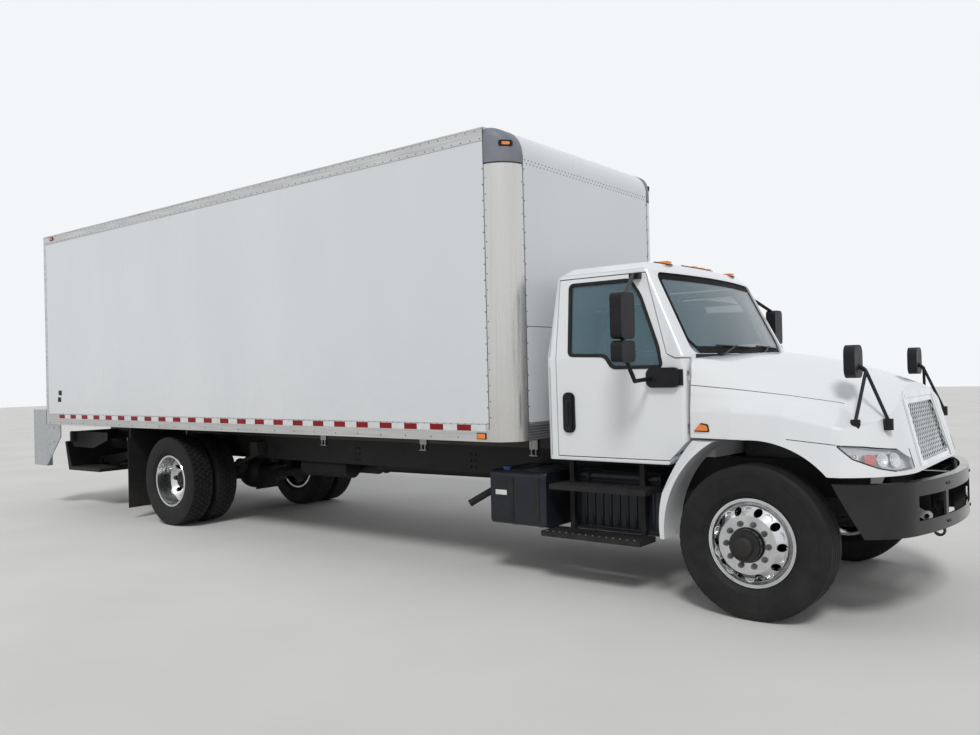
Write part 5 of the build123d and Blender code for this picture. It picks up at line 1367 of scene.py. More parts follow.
@dataclass
class Cab:
    """Seals, wipers, mirrors' glass, handles, sill and lamps' bases of the cab."""

    window: Outline = (
        (-0.672, 1.706), (-0.700, 1.850), (-0.868, 2.250), (-0.960, 2.375), (-1.500, 2.375),
        (-1.475, 1.812), (-1.150, 1.800), (-1.090, 1.706),
    )
    seal_width: float = 0.026
    frit: float = 0.085
    pull: Outline = ((1.095, 1.27), (1.104, 1.28), (1.104, 1.45), (1.095, 1.46))
    shells: Rows = (
        (-1.4825, 1.368, 0.054, 0.158, 0.045, 0.013), (-0.658, 1.630, 0.131, 0.073, 0.050, 0.040),
    )

    def make(self) -> None:
        """Build every piece of the cab's dress."""
        self.window_seals()
        self.windscreen_frit()
        self.cowl()
        self.wipers()
        self.mirror_faces()
        self.handles()
        self.sill()
        self.roof_seam()
        self.marker_bases()

    def _ring(self, outline: Sequence[Station], width: float) -> list[tuple[Station, Station]]:
        """The two edges of a strip of even width about an outline.

        Args:
            outline: Points of the closed outline.
            width: Width of the strip.

        Returns:
            A pair of outer and inner points for each point of the outline.
        """
        points = [Vector(point) for point in outline]
        after_points = points[1:] + points[:1]
        area = sum(a.x * b.y - b.x * a.y for a, b in zip(points, after_points))
        turn = 1 if area > 0 else -1
        pairs = []
        for before, point, after in zip(points[-1:] + points[:-1], points, after_points):
            way = ((point - before).normalized() + (after - point).normalized()).normalized()
            normal = Vector((way.y, -way.x)) * turn
            pairs.append(((point.x + normal.x * width * 0.35, point.y + normal.y * width * 0.35),
                          (point.x - normal.x * width * 0.65, point.y - normal.y * width * 0.65)))
        return pairs

    def window_seals(self) -> None:
        """Build the rubber seal about each door's window, on the door's outer face."""
        for side in SIDES:
            name = side_name(side)
            face = Surface(f"door_{name}")
            lift, sink = Vector((0, side * 0.004, 0)), Vector((0, -side * 0.012, 0))
            rings = []
            for outer, inner in self._ring(rounded(self.window, 0.035, 6), self.seal_width):
                y = face.beside(side, *outer)[0].y
                out = Vector((ahead(outer[0]), y, outer[1]))
                back = Vector((ahead(inner[0]), y - side * 0.002, inner[1]))
                rings.append([out + sink, out + lift, back + lift, back + sink])
            bm = bmesh.new()
            add_strip(bm, rings, closed=True)
            build(f"window_seal_{name}", bm, SEAL, f"door_{name}")

    def windscreen_frit(self) -> None:
        """Build the black border of the windscreen and of the rear window."""
        face = Surface("cab_glass")
        for label, way, (low_y, low_z), (high_y, high_z), start, width in (
            ("windscreen_border", (-1, 0, 0), (0.955, 1.800), (0.912, 2.425), IN_FRONT, self.frit),
            ("rear_window_border", (1, 0, 0), (0.430, 1.830), (0.430, 2.230), 2.0, 0.03),
        ):
            corners = [(-low_y, low_z), (low_y, low_z), (high_y, high_z), (-high_y, high_z)]
            outline = [Vector(point) for point in rounded(corners, 0.06, 5)]
            fine = []
            for first, second in zip(outline, outline[1:] + outline[:1]):
                gap = second - first
                count = max(1, math.ceil(gap.length / 0.06))
                fine += [first + gap * index / count for index in range(count)]
            rows = []
            for (y, z), (in_y, in_z) in self._ring(fine, width):
                found = [face.hit((start, y + (in_y - y) * share, z + (in_z - z) * share), way)
                         for share in (0.36, 0.68, 1.0)]
                if None not in found:
                    rows.append([place + normal * 0.0012 for place, normal in found])
            bm = bmesh.new()
            add_sheet(bm, rows, closed=True)
            bmesh.ops.solidify(bm, geom=bm.faces[:], thickness=0.0008)
            build(label, bm, SEAL)

    def cowl(self) -> None:
        """Build the dark cowl strip at the windscreen's foot."""
        bm = bmesh.new()
        laid = Surface("cab_shell").front_line([(-0.93, 1.772), (0.93, 1.772)], 0.06)
        add_ribbon(bm, laid, 0.05, 0.006)
        build("cowl_strip", bm, PLASTIC)

    def wipers(self) -> None:
        """Build two wiper arms with their blades, parked low on the windscreen."""
        glass = Surface("cab_glass", "cab_shell")
        bm = bmesh.new()
        for pivot_y, tip_y in ((-0.62, 0.02), (0.12, 0.74)):
            foot, out = glass.before(pivot_y, 1.785)
            add_rod(bm, foot - out * 0.01, foot + out * 0.035, 0.016, 14)
            blade = glass.front_line([(pivot_y + 0.05, 1.86), (tip_y, 1.845)], 0.08)
            points = [place + normal * 0.011 for place, normal in blade]
            add_path(bm, points, 0.006)
            half_way = len(points) // 2
            add_path(bm, [foot + out * 0.03, points[half_way] + blade[half_way][1] * 0.012], 0.007)
        build("wipers", bm, PLASTIC)

    def mirror_faces(self) -> None:
        """Build the mirror glass on the back of every mirror head."""
        for side in SIDES:
            name = side_name(side)
            bm = bmesh.new()
            x = ahead(-0.760) - 0.0455
            for low, high in ((1.908, 2.230), (1.744, 1.896)):
                outline = pane((-0.083, low + 0.012), (0.083, high - 0.012), 0.034)
                add_plate(bm, [(x, side * 1.487 + a, b) for a, b in outline], (-0.002, 0, 0))
            build(f"mirror_glass_{name}", bm, MIRROR, f"door_{name}")
            bm = bmesh.new()
            x = ahead(0.597) - 0.0355
            outline = pane((-0.082, 1.618), (0.082, 1.806), 0.055)
            add_plate(bm, [(x, side * 0.888 + a, b) for a, b in outline], (-0.002, 0, 0))
            build(f"hood_mirror_glass_{name}", bm, MIRROR, "hood")

    def handles(self) -> None:
        """Build the pull bars in the door handles and the lock barrels."""
        for side in SIDES:
            name = side_name(side)
            bm = bmesh.new()
            x = ahead(-1.4825)
            add_path(bm, [(x, side * y, z) for y, z in self.pull], 0.011)
            add_rod(bm, (x, side * 1.098, 1.485), (x, side * 1.106, 1.485), 0.011, 16)
            build(f"door_pull_{name}", bm, PLASTIC, f"door_{name}")
            self._door_shells(side)

    def _door_shells(self, side: int) -> None:
        """Build the rounded plates about one door's handle and its mirror's foot.

        Args:
            side: The side.
        """
        name = side_name(side)
        face = Surface(f"door_{name}")
        bm = bmesh.new()
        for x, z, half, high, radius, thick in self.shells:
            y = face.beside(side, x, z + high * 0.97)[0].y - side * 0.004
            outline = pane((-half, -high), (half, high), radius)
            add_plate(bm, [(ahead(x) + a, y, z + b) for a, b in outline], (0, side * thick, 0))
        build(f"door_shells_{name}", bm, PLASTIC, f"door_{name}")

    def sill(self) -> None:
        """Build the bright strip under each door."""
        bm = bmesh.new()
        for side in SIDES:
            add_block(bm, (ahead(-1.113), side * 1.062, 1.012), (0.95, 0.012, 0.022), 0.003)
        build("sill_strips", bm, PAINT)

    def roof_seam(self) -> None:
        """Build the drip line over each door and the seam behind it."""
        face = Surface("cab_shell")
        for name, line, width, proud, finish, slot in (
            ("drip_rails", [(-0.86, 2.452), (-1.66, 2.452)], 0.01, 0.005, PAINT, "white_paint"),
            ("cab_seams", [(-1.655, 1.03), (-1.655, 2.40)], 0.004, 0.0006, SEAM, "black_plastic"),
        ):
            bm = bmesh.new()
            for side in SIDES:
                add_ribbon(bm, face.side_line(side, line, 0.1), width, proud)
            build(name, bm, finish)

    def marker_bases(self) -> None:
        """Build the dark bases of the roof's marker lamps."""
        roof = Surface("cab_shell")
        outline = pane((-0.062, -0.05), (0.07, 0.05), 0.02)
        bm = bmesh.new()
        for y in (-0.621, -0.13, 0.0, 0.13, 0.621):
            place, normal = roof.hit((ahead(-0.874), y, 3.0), (0, 0, -1))
            add_plate(bm, [(place.x + a, place.y + b,
                            place.z - (a * normal.x + b * normal.y) / normal.z)
                           for a, b in outline], (0, 0, 0.006))
        build("marker_bases", bm, PLASTIC)


@dataclass
class Nose:
    """Lamps, seams, cooler and small fittings of the hood and the bumper."""

    lamp_top: Outline = ((0.556, 1.182), (0.690, 1.172), (0.836, 1.146))
    lamp_foot: Outline = ((0.556, 1.178), (0.640, 1.098), (0.770, 1.036), (0.846, 1.012))
    lamp_front_y: float = 0.690
    bowls: Rows = (
        (0.843, 1.082, 0.045, 0.030), (0.790, 1.088, 0.040, 0.030), (0.656, 1.112, 0.014, 0.016),
    )
    reflector: Outline = ((0.0, 0.041), (0.004, 0.040), (0.007, 0.034), (0.008, 0.0))
    arch_radius: float = 0.690
    arch_turn: Station = (-6.0, 46.0)
    grille_rows: tuple[Station, Station] = ((1.002, 0.468), (1.452, 0.415))
    surround: float = 0.05
    hood_rows: Rows = (
        (-0.486, 1.800, 1.010, 1.763, 1.060, 1.575, 1.070, 1.385),
        (-0.150, 1.797, 0.905, 1.695, 1.012, 1.538, 1.115, 1.388),
        (0.200, 1.742, 0.790, 1.625, 0.955, 1.492, 1.140, 1.372),
        (0.520, 1.652, 0.670, 1.548, 0.880, 1.440, 1.135, 1.302),
        (0.840, 1.532, 0.520, 1.462, 0.790, 1.352, 1.085, 1.222),
    )
    skin_x: Station = (-0.486, 0.730)
    skin_back: Station = (-0.462, 0.028)
    skin_front: float = 0.19
    skin_steps: int = 44
    skin_reach: float = 0.70
    skin_proud: float = 0.003
    skin_sunk: float = 0.008
    dome_items: int = 3
    crease_place: int = 5
    shoulder_bend: float = 0.15

    def make(self) -> None:
        """Build every piece of the nose."""
        for side in SIDES:
            self.lamp(side)
            self.lamp_edges(side)
            self.marker(side)
        self.cooler()
        self.seams()
        self.arch_lips()
        self.bumper_bolts()
        self.bumper_liner()
        self.hood_skin()
        self.grille_surround()

    def lamp(self, side: int) -> None:
        """Build one headlamp's bright housing, its bowls and its round reflector.

        Args:
            side: The side.
        """
        name = side_name(side)
        bm = bmesh.new()
        bm.from_mesh(FRAME["nodes"]["headlamps"].data)
        other = [vert for vert in bm.verts if vert.co.y * side < 0]
        bmesh.ops.delete(bm, geom=other, context="VERTS")
        middle = sum((vert.co for vert in bm.verts), Vector()) / len(bm.verts)
        home = Matrix.Translation(-middle)
        bmesh.ops.scale(bm, vec=(0.96, 0.96, 0.92), verts=bm.verts, space=home)
        bmesh.ops.translate(bm, vec=(-0.027, -side * 0.027, 0.0), verts=bm.verts)
        build(f"lamp_housing_{name}", bm, LAMP_BACK, "hood")
        lens = Surface("headlamps")
        bowls, disc = bmesh.new(), bmesh.new()
        for x, z, radius, deep in self.bowls:
            place, normal = lens.beside(side, x, z)
            profile = [(0.0, radius + 0.004), (0.003, radius + 0.003), (0.002, radius * 0.9),
                       (-0.012, radius * 0.55), (-0.016, 0.006), (-0.006, 0.005), (-0.004, 0.0)]
            add_lathe(bowls, profile, place - normal * deep * 0.6, normal, 32)
        place, normal = lens.beside(side, 0.730, 1.087)
        add_lathe(disc, self.reflector, place - normal * 0.010, normal, 36)
        build(f"lamp_bowls_{name}", bowls, CHROME, "hood")
        build(f"lamp_reflector_{name}", disc, RED, "hood")

    def lamp_edges(self, side: int) -> None:
        """Build the dark gap about one headlamp.

        Args:
            side: The side.
        """
        face = Surface("hood", "headlamps")
        y = side * self.lamp_front_y
        bm = bmesh.new()
        for laid in (face.side_line(side, self.lamp_top, 0.02),
                     face.side_line(side, self.lamp_foot, 0.02),
                     face.front_line([(y, 1.02), (y, 1.14)], 0.02)):
            add_ribbon(bm, laid, 0.008, 0.0012)
        build(f"lamp_edge_{side_name(side)}", bm, SEAL, "hood")

    def marker(self, side: int) -> None:
        """Build the side marker lamp at the rear of one fender, on its dark base.

        Args:
            side: The side.
        """
        place, normal = Surface("hood").beside(side, -0.373, 1.276)
        turn = facing(normal)
        for label, grow, thick, finish, slot in (
            ("base", 0.008, 0.004, PLASTIC, "black_plastic"),
            ("lamp", 0.0, 0.015, AMBER, "amber_lens"),
        ):
            outline = rounded([(-0.056 - grow, -0.023 - grow), (0.056 + grow, -0.023 - grow),
                               (0.044 + grow, 0.014 + grow), (-0.006, 0.023 + grow)], 0.008)
            bm = bmesh.new()
            add_plate(bm, [place + turn @ Vector((-side * a, b, 0.0)) for a, b in outline],
                      normal * thick)
            build(f"marker_{label}_{side_name(side)}", bm, finish, "hood")

    def cooler(self) -> None:
        """Build the finned cooler behind the grille, on the first crossmember."""
        bm = bmesh.new()
        x, low, high, half = ahead(0.600), 0.972, 1.420, 0.390
        middle, tall = (low + high) / 2, high - low
        for edge in SIDES:
            add_block(bm, (x, edge * (half + 0.02), middle), (0.06, 0.04, tall), 0.006)
        for z in (low + 0.015, high - 0.015):
            add_block(bm, (x, 0, z), (0.06, 2 * half, 0.03), 0.006)
        for y in spaced(-half + 0.01, half - 0.01, 0.013):
            add_block(bm, (x, y, middle), (0.036, 0.004, tall - 0.06))
        for z in spaced(low + 0.04, high - 0.04, 0.03):
            add_block(bm, (x - 0.004, 0, z), (0.02, 2 * half, 0.004))
        build("cooler", bm, COOLER)

    def seams(self) -> None:
        """Build the hood's drawn lines: the fender's seam and the nose's upright seams."""
        face = Surface("hood")
        bm = bmesh.new()
        for side in SIDES:
            add_ribbon(bm, face.side_line(side, [(0.240, 1.214), (0.548, 1.186)]), 0.005, 0.0006)
            upright = face.front_line([(side * 0.545, 1.01), (side * 0.500, 1.45)])
            add_ribbon(bm, upright, 0.004, 0.0006)
        build("hood_seams", bm, SEAM, "hood")

    def arch_lips(self) -> None:
        """Build the folded lip about each front wheel arch."""
        face = Surface("hood")
        bm = bmesh.new()
        for side in SIDES:
            laid = [face.beside(side, self.arch_radius * math.sin(turn),
                                AXLE_Z + self.arch_radius * math.cos(turn))
                    for turn in turns(*self.arch_turn, 24)]
            add_ribbon(bm, [found for found in laid if found is not None], 0.014, 0.003)
        build("arch_lips", bm, PAINT, "hood")

    def bumper_bolts(self) -> None:
        """Build the carriage bolts and rivets that hold the bumper to its arms."""
        face = Surface("bumper")
        bm = bmesh.new()
        for y in (0.375, 0.412, 0.86):
            for side in SIDES:
                for z in (0.645, 0.895):
                    place, normal = face.before(side * y, z)
                    if y < 0.8:
                        add_ball(bm, place - normal * 0.003, 0.012)
                    else:
                        add_rivet(bm, place, normal, 0.008, 0.0025)
        build("bumper_bolts", bm, BUMPER)

    def bumper_liner(self) -> None:
        """Build the dark liner that shows through the bumper's openings."""
        bm = bmesh.new()
        for y, half, x in ((0.0, 0.425, 0.905), (-0.640, 0.215, 0.850), (0.640, 0.215, 0.850)):
            add_block(bm, (ahead(x), y, 0.745), (0.006, 2 * half, 0.27), 0.002)
        for side in SIDES:
            for x, y in ((0.780, 0.855), (0.870, 0.426)):
                add_block(bm, (ahead(x), side * y, 0.745), (0.15, 0.006, 0.27), 0.002)
            add_block(bm, (ahead(0.890), side * 0.63, 0.628), (0.09, 0.40, 0.006), 0.002)
        build("bumper_liner", bm, PLASTIC)

    def grille_surround(self) -> None:
        """Build the bright surround about the grille."""
        face = Surface("hood")
        bm = bmesh.new()
        (low_z, low_y), (high_z, high_y) = self.grille_rows
        edge = self.surround / 2 + 0.004
        y, z = high_y + edge, high_z + edge
        for side in SIDES:
            upright = face.front_line([(side * (low_y + edge), low_z + 0.002), (side * y, z)])
            add_ribbon(bm, upright, self.surround, 0.005)
        add_ribbon(bm, face.front_line([(-y, z), (y, z)], 0.04), self.surround, 0.005)
        build("grille_surround", bm, CHROME, "hood")

    def _at(self, x: float) -> list[float]:
        """The hood's heights and widths at a station: the dome on curves, the rest straight.

        Args:
            x: The station, ahead of the front axle.

        Returns:
            What a row of hood_rows holds after its station.
        """
        rows = self.hood_rows
        index = max(0, min(len(rows) - 2, sum(1 for row in rows if row[0] <= x) - 1))
        first, second = rows[index], rows[index + 1]
        before, after = rows[max(0, index - 1)], rows[min(len(rows) - 1, index + 2)]
        span = second[0] - first[0]
        share = (x - first[0]) / span
        values = [first[item] + (second[item] - first[item]) * share for item in range(1, len(first))]
        for item in range(1, self.dome_items + 1):
            start_slope = (second[item] - before[item]) / (second[0] - before[0]) * span
            end_slope = (after[item] - first[item]) / (after[0] - first[0]) * span
            values[item - 1] = (
                (2 * share ** 3 - 3 * share ** 2 + 1) * first[item]
                + (share ** 3 - 2 * share ** 2 + share) * start_slope
                + (3 * share ** 2 - 2 * share ** 3) * second[item]
                + (share ** 3 - share ** 2) * end_slope
            )
        return values

    def _half_section(self, x: float) -> list[Station]:
        """Half of the hood's section at a station, from low on the fender's top to the crown.

        Args:
            x: The station, ahead of the front axle.

        Returns:
            Distance from the middle and height of each point.
        """
        crown, y1, z1, y2, z2, y3, z3 = self._at(x)
        crease, shoulder = Vector((y2, z2)), Vector((y1, z1))
        foot = crease.lerp(Vector((y3, z3)), self.skin_reach)
        rise = (shoulder - crease).normalized()
        slope = Vector((-1.0, 2 * (crown - z1) / y1)).normalized()
        bend = rise.angle(slope)
        pull = min(self.shoulder_bend * math.tan(bend / 2), (shoulder - crease).length * 0.6)
        start = shoulder - rise * pull
        end_y = y1 + slope.x * pull
        end = Vector((end_y, crown - (crown - z1) * (end_y / y1) ** 2))
        points = [foot.lerp(crease, index / 5) for index in range(5)]
        points += [crease.lerp(start, index / 4) for index in range(4)]
        for index in range(9):
            share = index / 9
            points.append(start.lerp(shoulder, share).lerp(shoulder.lerp(end, share), share))
        for index in range(15):
            y = end_y * (1 - index / 14)
            points.append(Vector((y, crown - (crown - z1) * (y / y1) ** 2)))
        return [tuple(point) for point in points]

    def _skin_row(self, share: float) -> list[Point]:
        """One row of the hood skin across the truck.

        Args:
            share: How far forward the row stands, from nought to one.

        Returns:
            Points from the right fender over the crown to the left one.
        """
        far = []
        for index, (y, _) in enumerate(self._half_section(self.skin_x[0])):
            bow = (y / 1.2) ** 2
            rise = min(1.0, max(0.0, (index - 8) / 6))
            back = self.skin_back[0] - self.skin_back[1] * bow * rise
            x = back + (self.skin_x[1] - self.skin_front * bow - back) * share
            far.append((ahead(x), *self._half_section(x)[index]))
        return [(x, -y, z) for x, y, z in far] + far[-2::-1]

    def hood_skin(self) -> None:
        """Build the hood's domed top, from the fenders over the crown, and a line of painted shade
        along each crease.
        """
        bm = bmesh.new()
        steps = self.skin_steps
        rows = add_sheet(bm, [self._skin_row(step / steps) for step in range(steps + 1)])
        bmesh.ops.recalc_face_normals(bm, faces=bm.faces)
        bm.normal_update()
        if sum(face.normal.z for face in bm.faces) < 0:
            bmesh.ops.reverse_faces(bm, faces=bm.faces)
            bm.normal_update()
        last = len(rows[0]) - 1
        for step, row in enumerate(rows):
            for index, vert in enumerate(row):
                fade = min(1.0, (steps - step) / 3, index / 3, (last - index) / 3)
                vert.co += vert.normal * (self.skin_proud * fade - self.skin_sunk * (1 - fade))
        # A dark ribbon along each crease of the skin: painted shade in the fold, where the sheet has
        # no joint.
        crease_shade = bmesh.new()
        for place in (self.crease_place, last - self.crease_place):
            laid = [(row[place].co.copy(), row[place].normal.copy()) for row in rows]
            add_ribbon(crease_shade, laid, 0.005, 0.0006)
        build("hood_crease_shade", crease_shade, SEAM, "hood")
        bmesh.ops.solidify(bm, geom=bm.faces[:], thickness=0.010)
        build("hood_skin", bm, PAINT, "hood", sharp=50.0)


@dataclass
class Chassis:
    """Boxes, tanks, steps and bolts along the frame."""

    box_x: Station = (-1.600, -0.810)
    box_y: float = 0.880
    tank_x: Station = (-2.250, -1.690)
    tank_y: float = 1.120
    tank_z: Station = (0.443, 0.886)
    tank_cap: Outline = (
        (0.0, 0.034), (0.012, 0.034), (0.014, 0.04), (0.032, 0.04), (0.036, 0.034), (0.036, 0.0),
    )
    fuel_x: Station = (-2.650, -0.800)
    fuel_z: Station = (0.400, 0.930)
    fuel_cap: Outline = (
        (-0.01, 0.05), (0.035, 0.05), (0.04, 0.058), (0.065, 0.058), (0.07, 0.05), (0.07, 0.02),
        (0.076, 0.018), (0.076, 0.0),
    )
    rail_y: float = 0.430
    rail_z: Station = (0.747, 1.007)
    pipe_run: tuple[Point, ...] = (
        (2.300, -0.440, 0.830), (2.240, -0.780, 0.740), (1.975, -0.950, 0.560),
    )
    pipe_radius: float = 0.030
    treads: Rows = (
        (-1.639, -0.797, 0.807), (-1.726, -0.849, 0.432),
    )
    tread_y: Station = (0.900, 1.150)

    def make(self) -> None:
        """Build every piece along the frame."""
        self.battery_ribs()
        self.fluid_tank()
        self.tail_pipe()
        self.fuel_straps()
        self.step_treads()
        self.frame_bolts()
        self.body_clamps()
        self.flap_irons()

    def battery_ribs(self) -> None:
        """Build the ribs, lid and latches of the battery box."""
        bm = bmesh.new()
        low, high = ahead(self.box_x[0]), ahead(self.box_x[1])
        face = -self.box_y
        for x in spaced(low + 0.06, high - 0.06, 0.075):
            add_block(bm, (x, face - 0.004, 0.635), (0.026, 0.012, 0.34), 0.004)
        for z, deep, height in ((0.85, 0.016, 0.022), (0.455, 0.012, 0.018)):
            place = ((low + high) / 2, face - 0.004, z)
            add_block(bm, place, (high - low - 0.03, deep, height), 0.004)
        build("battery_box_ribs", bm, BOX_BLACK)
        bm = bmesh.new()
        for x in (low + 0.16, high - 0.16):
            add_block(bm, (x, face - 0.013, 0.835), (0.03, 0.01, 0.085), 0.003)
            add_rod(bm, (x - 0.02, face - 0.018, 0.80), (x + 0.02, face - 0.018, 0.80), 0.006, 10)
        build("battery_box_latches", bm, FRAME_BLACK)

    def fluid_tank(self) -> None:
        """Build the fluid tank's straps, cap and blank label."""
        low, high = ahead(self.tank_x[0]), ahead(self.tank_x[1])
        middle_z = sum(self.tank_z) / 2
        height = self.tank_z[1] - self.tank_z[0]
        bm = bmesh.new()
        for x in (low + 0.215, high - 0.09):
            add_block(bm, (x, -self.tank_y - 0.002, middle_z), (0.045, 0.006, height - 0.09), 0.001)
            for z in (self.tank_z[1] + 0.001, self.tank_z[0] - 0.001):
                add_block(bm, (x, -0.80, z), (0.045, 0.55, 0.005), 0.001)
        build("fluid_tank_straps", bm, FRAME_BLACK)
        bm = bmesh.new()
        add_lathe(bm, self.tank_cap, (low + 0.125, -1.04, self.tank_z[1] - 0.004), (0, 0, 1), 24)
        build("fluid_tank_cap", bm, CAP_BLUE)
        bm = bmesh.new()
        add_block(bm, (2.440, -self.tank_y - 0.001, 0.706), (0.115, 0.002, 0.040), 0.0005)
        build("blank_label", bm, TAPE_WHITE)

    def tail_pipe(self) -> None:
        """Build the exhaust's open tail pipe behind the fluid tank."""
        bm = bmesh.new()
        add_path(bm, self.pipe_run, self.pipe_radius)
        mouth = Vector(self.pipe_run[-1])
        way = (mouth - Vector(self.pipe_run[-2])).normalized()
        ring = [(-0.002, self.pipe_radius + 0.003), (0.012, self.pipe_radius + 0.003),
                (0.012, self.pipe_radius - 0.004), (-0.002, self.pipe_radius - 0.004)]
        add_lathe(bm, ring, tuple(mouth), tuple(way), 20, closed=True)
        build("tail_pipe", bm, FRAME_BLACK)

    def fuel_straps(self) -> None:
        """Build the fuel tank's straps and filler cap."""
        low, high = ahead(self.fuel_x[0]), ahead(self.fuel_x[1])
        face = Surface("fuel_tank")
        bm = bmesh.new()
        for x in (low + 0.28, high - 0.28):
            laid = []
            for turn in turns(-80, 80, 32):
                way = Vector((0, -math.cos(turn), -math.sin(turn)))
                laid.append(face.hit(Vector((x, 0.68, sum(self.fuel_z) / 2)) - way * 1.5, way))
            add_ribbon(bm, [found for found in laid if found is not None], 0.05, 0.004)
        build("fuel_tank_straps", bm, BOLT)
        bm = bmesh.new()
        place, normal = face.hit((high - 0.16, 1.5, self.fuel_z[1] - 0.10), (0, -1, -0.35))
        add_lathe(bm, self.fuel_cap, place, normal, 28)
        build("fuel_cap", bm, BOLT)

    def step_treads(self) -> None:
        """Build the studded tread plates on the steps, with bright studs along the lower step's edge
        whose zinc is a painted glint.
        """
        bm = bmesh.new()
        glint_studs = bmesh.new()
        depth = (self.tread_y[1] - self.tread_y[0]) / 2
        for low, high, top in self.treads:
            for side in SIDES:
                y, edge = side * (self.tread_y[0] + depth), side * (self.tread_y[1] - 0.012)
                add_block(bm, ((ahead(low) + ahead(high)) / 2, y, top + 0.001),
                          (high - low - 0.03, 2 * depth - 0.03, 0.004), 0.001)
                for x in spaced(ahead(low) + 0.05, ahead(high) - 0.05, 0.062):
                    for row in (0.5, 0.0, -0.5):
                        add_rivet(bm, (x, y + row * depth, top + 0.002), (0, 0, 1), 0.011, 0.004)
                    # Bright zinc on the lower step's edge studs only: painted glints; the other studs
                    # stay black.
                    if top < 0.6:
                        add_rivet(glint_studs, (x, edge, top + 0.002), (0, 0, 1), 0.008, 0.004)
        build("step_plates", bm, FRAME_BLACK)
        build("step_edge_glints", glint_studs, BOLT)

    def frame_bolts(self) -> None:
        """Build the bolt heads on the outer faces of the rails."""
        bm = bmesh.new()
        for side in SIDES:
            y = side * self.rail_y
            for station in (-1.250, -3.000, -4.600, -6.200, -7.750, -9.400, 0.640):
                for shift in (-0.028, 0.028):
                    for z in (0.80, 0.86, 0.92):
                        add_rod(bm, (ahead(station) + shift, y, z),
                                (ahead(station) + shift, y + side * 0.009, z), 0.011, 6)
            for x in spaced(BOX_REAR_X + 0.2, ahead(0.55), 0.62):
                add_rivet(bm, (x, y, self.rail_z[1] - 0.03), (0, side, 0), 0.008, 0.004)
        build("frame_bolts", bm, CAST_BLACK)

    def body_clamps(self) -> None:
        """Build the plates and long bolts that tie the body's sills to the rails."""
        bm = bmesh.new()
        for side in SIDES:
            for x in (2.30, 0.95, -0.55, -3.25, -4.55):
                y = side * (self.rail_y + 0.014)
                add_block(bm, (x, y, 1.06), (0.09, 0.008, 0.13), 0.002)
                for shift in (-0.024, 0.024):
                    add_rod(bm, (x + shift, y, 0.94), (x + shift, y, 1.12), 0.007, 10)
                add_block(bm, (x, y, 0.94), (0.09, 0.026, 0.01), 0.002)
        build("body_clamps", bm, GALVANISED)

    def flap_irons(self) -> None:
        """Build the clamp bars and the foot weights of the mud flaps."""
        bm = bmesh.new()
        for side in SIDES:
            y = side * 0.9375
            add_block(bm, (-3.2555, y, 0.985), (0.012, 0.60, 0.035), 0.002)
            add_block(bm, (-3.2535, y, 0.165), (0.008, 0.58, 0.03), 0.002)
            for shift in spaced(-0.26, 0.26, 0.13):
                add_rivet(bm, (-3.2615, y + shift, 0.985), (-1, 0, 0), 0.009, 0.004)
        build("flap_irons", bm, GALVANISED)


@dataclass
class Liftgate:
    """Mount beam, bolts, post edges, dock rubbers, platform ribs, hinge barrels and marks of the
    liftgate.
    """

    post_x: Station = (-5.654, -5.279)
    post_y: float = 1.290
    post_z: Station = (0.565, 1.335)
    platform_lean: float = -14.5

    def make(self) -> None:
        """Build every piece of the liftgate's dress."""
        self.mount_beam()
        self.post_bolts()
        self.post_ribs()
        self.platform_dress()

    def mount_beam(self) -> None:
        """Build the gate's dark cross beam and its side plates under the body's rear."""
        bm = bmesh.new()
        add_block(bm, (-5.05, 0.0, 0.955), (0.12, 2.12, 0.14), 0.01)
        for side in SIDES:
            outline = [(-5.11, 1.028), (-4.12, 1.028), (-4.12, 0.93), (-4.50, 0.815), (-5.04, 0.815)]
            add_plate(bm, [(x, side * 1.04, z) for x, z in outline], (0, -side * 0.012, 0))
            for x in (-4.95, -4.60, -4.25):
                add_rivet(bm, (x, side * 1.04, 0.975), (0, side, 0), 0.012, 0.006)
        build("gate_mount_beam", bm, FRAME_BLACK)

    def post_bolts(self) -> None:
        """Build the bolts on the posts' gussets and outer faces."""
        bm = bmesh.new()
        for side in SIDES:
            y = side * self.post_y
            for x, z in ((-5.20, 1.09), (-5.06, 1.09), (-4.93, 1.09), (-5.20, 0.86), (-5.20, 0.72),
                         (-5.06, 0.90)):
                add_rod(bm, (x, y, z), (x, y + side * 0.005, z), 0.013, 6)
            for z in (0.62, 0.80, 1.0, 1.28):
                add_rivet(bm, (-5.46, y, z), (0, side, 0), 0.009, 0.003)
        build("gate_bolts", bm, BOLT)

    def post_ribs(self) -> None:
        """Build the rolled edges and dock bumpers at the posts."""
        bm = bmesh.new()
        rubber = bmesh.new()
        (rear, front), (low, high) = self.post_x, self.post_z
        for side in SIDES:
            for x in (rear + 0.006, front - 0.006):
                add_block(bm, (x, side * (self.post_y - 0.0005), (low + high) / 2),
                          (0.012, 0.005, high - low - 0.01), 0.001)
            for z in (0.70, 1.20):
                add_block(rubber, (rear + 0.012, side * 1.2525, z), (0.022, 0.05, 0.14), 0.004)
        build("post_edges", bm, GALVANISED)
        build("dock_rubbers", rubber, FLAP)

    def platform_dress(self) -> None:
        """Build the folded platform's ribs, hinge barrels and marks."""
        bm = bmesh.new()
        lean = tilted(self.platform_lean)
        for y in spaced(-0.92, 0.92, 0.23):
            add_block(bm, (-5.336, y, 0.68), (0.010, 0.03, 0.34), 0.002, lean)
        for side in SIDES:
            for y in (0.28, 0.86):
                add_rod(bm, (-5.246, side * (y - 0.06), 0.503), (-5.246, side * (y + 0.06), 0.503),
                        0.017, 14)
        build("platform_ribs", bm, PLATFORM, "lift_platform")
        marks = bmesh.new()
        for y in spaced(-0.86, 0.86, 0.43):
            add_block(marks, (-5.3685, y + 0.11, 0.80), (0.0012, 0.15, 0.05), 0.0, lean)
        build("platform_marks", marks, TAPE_RED, "lift_platform")


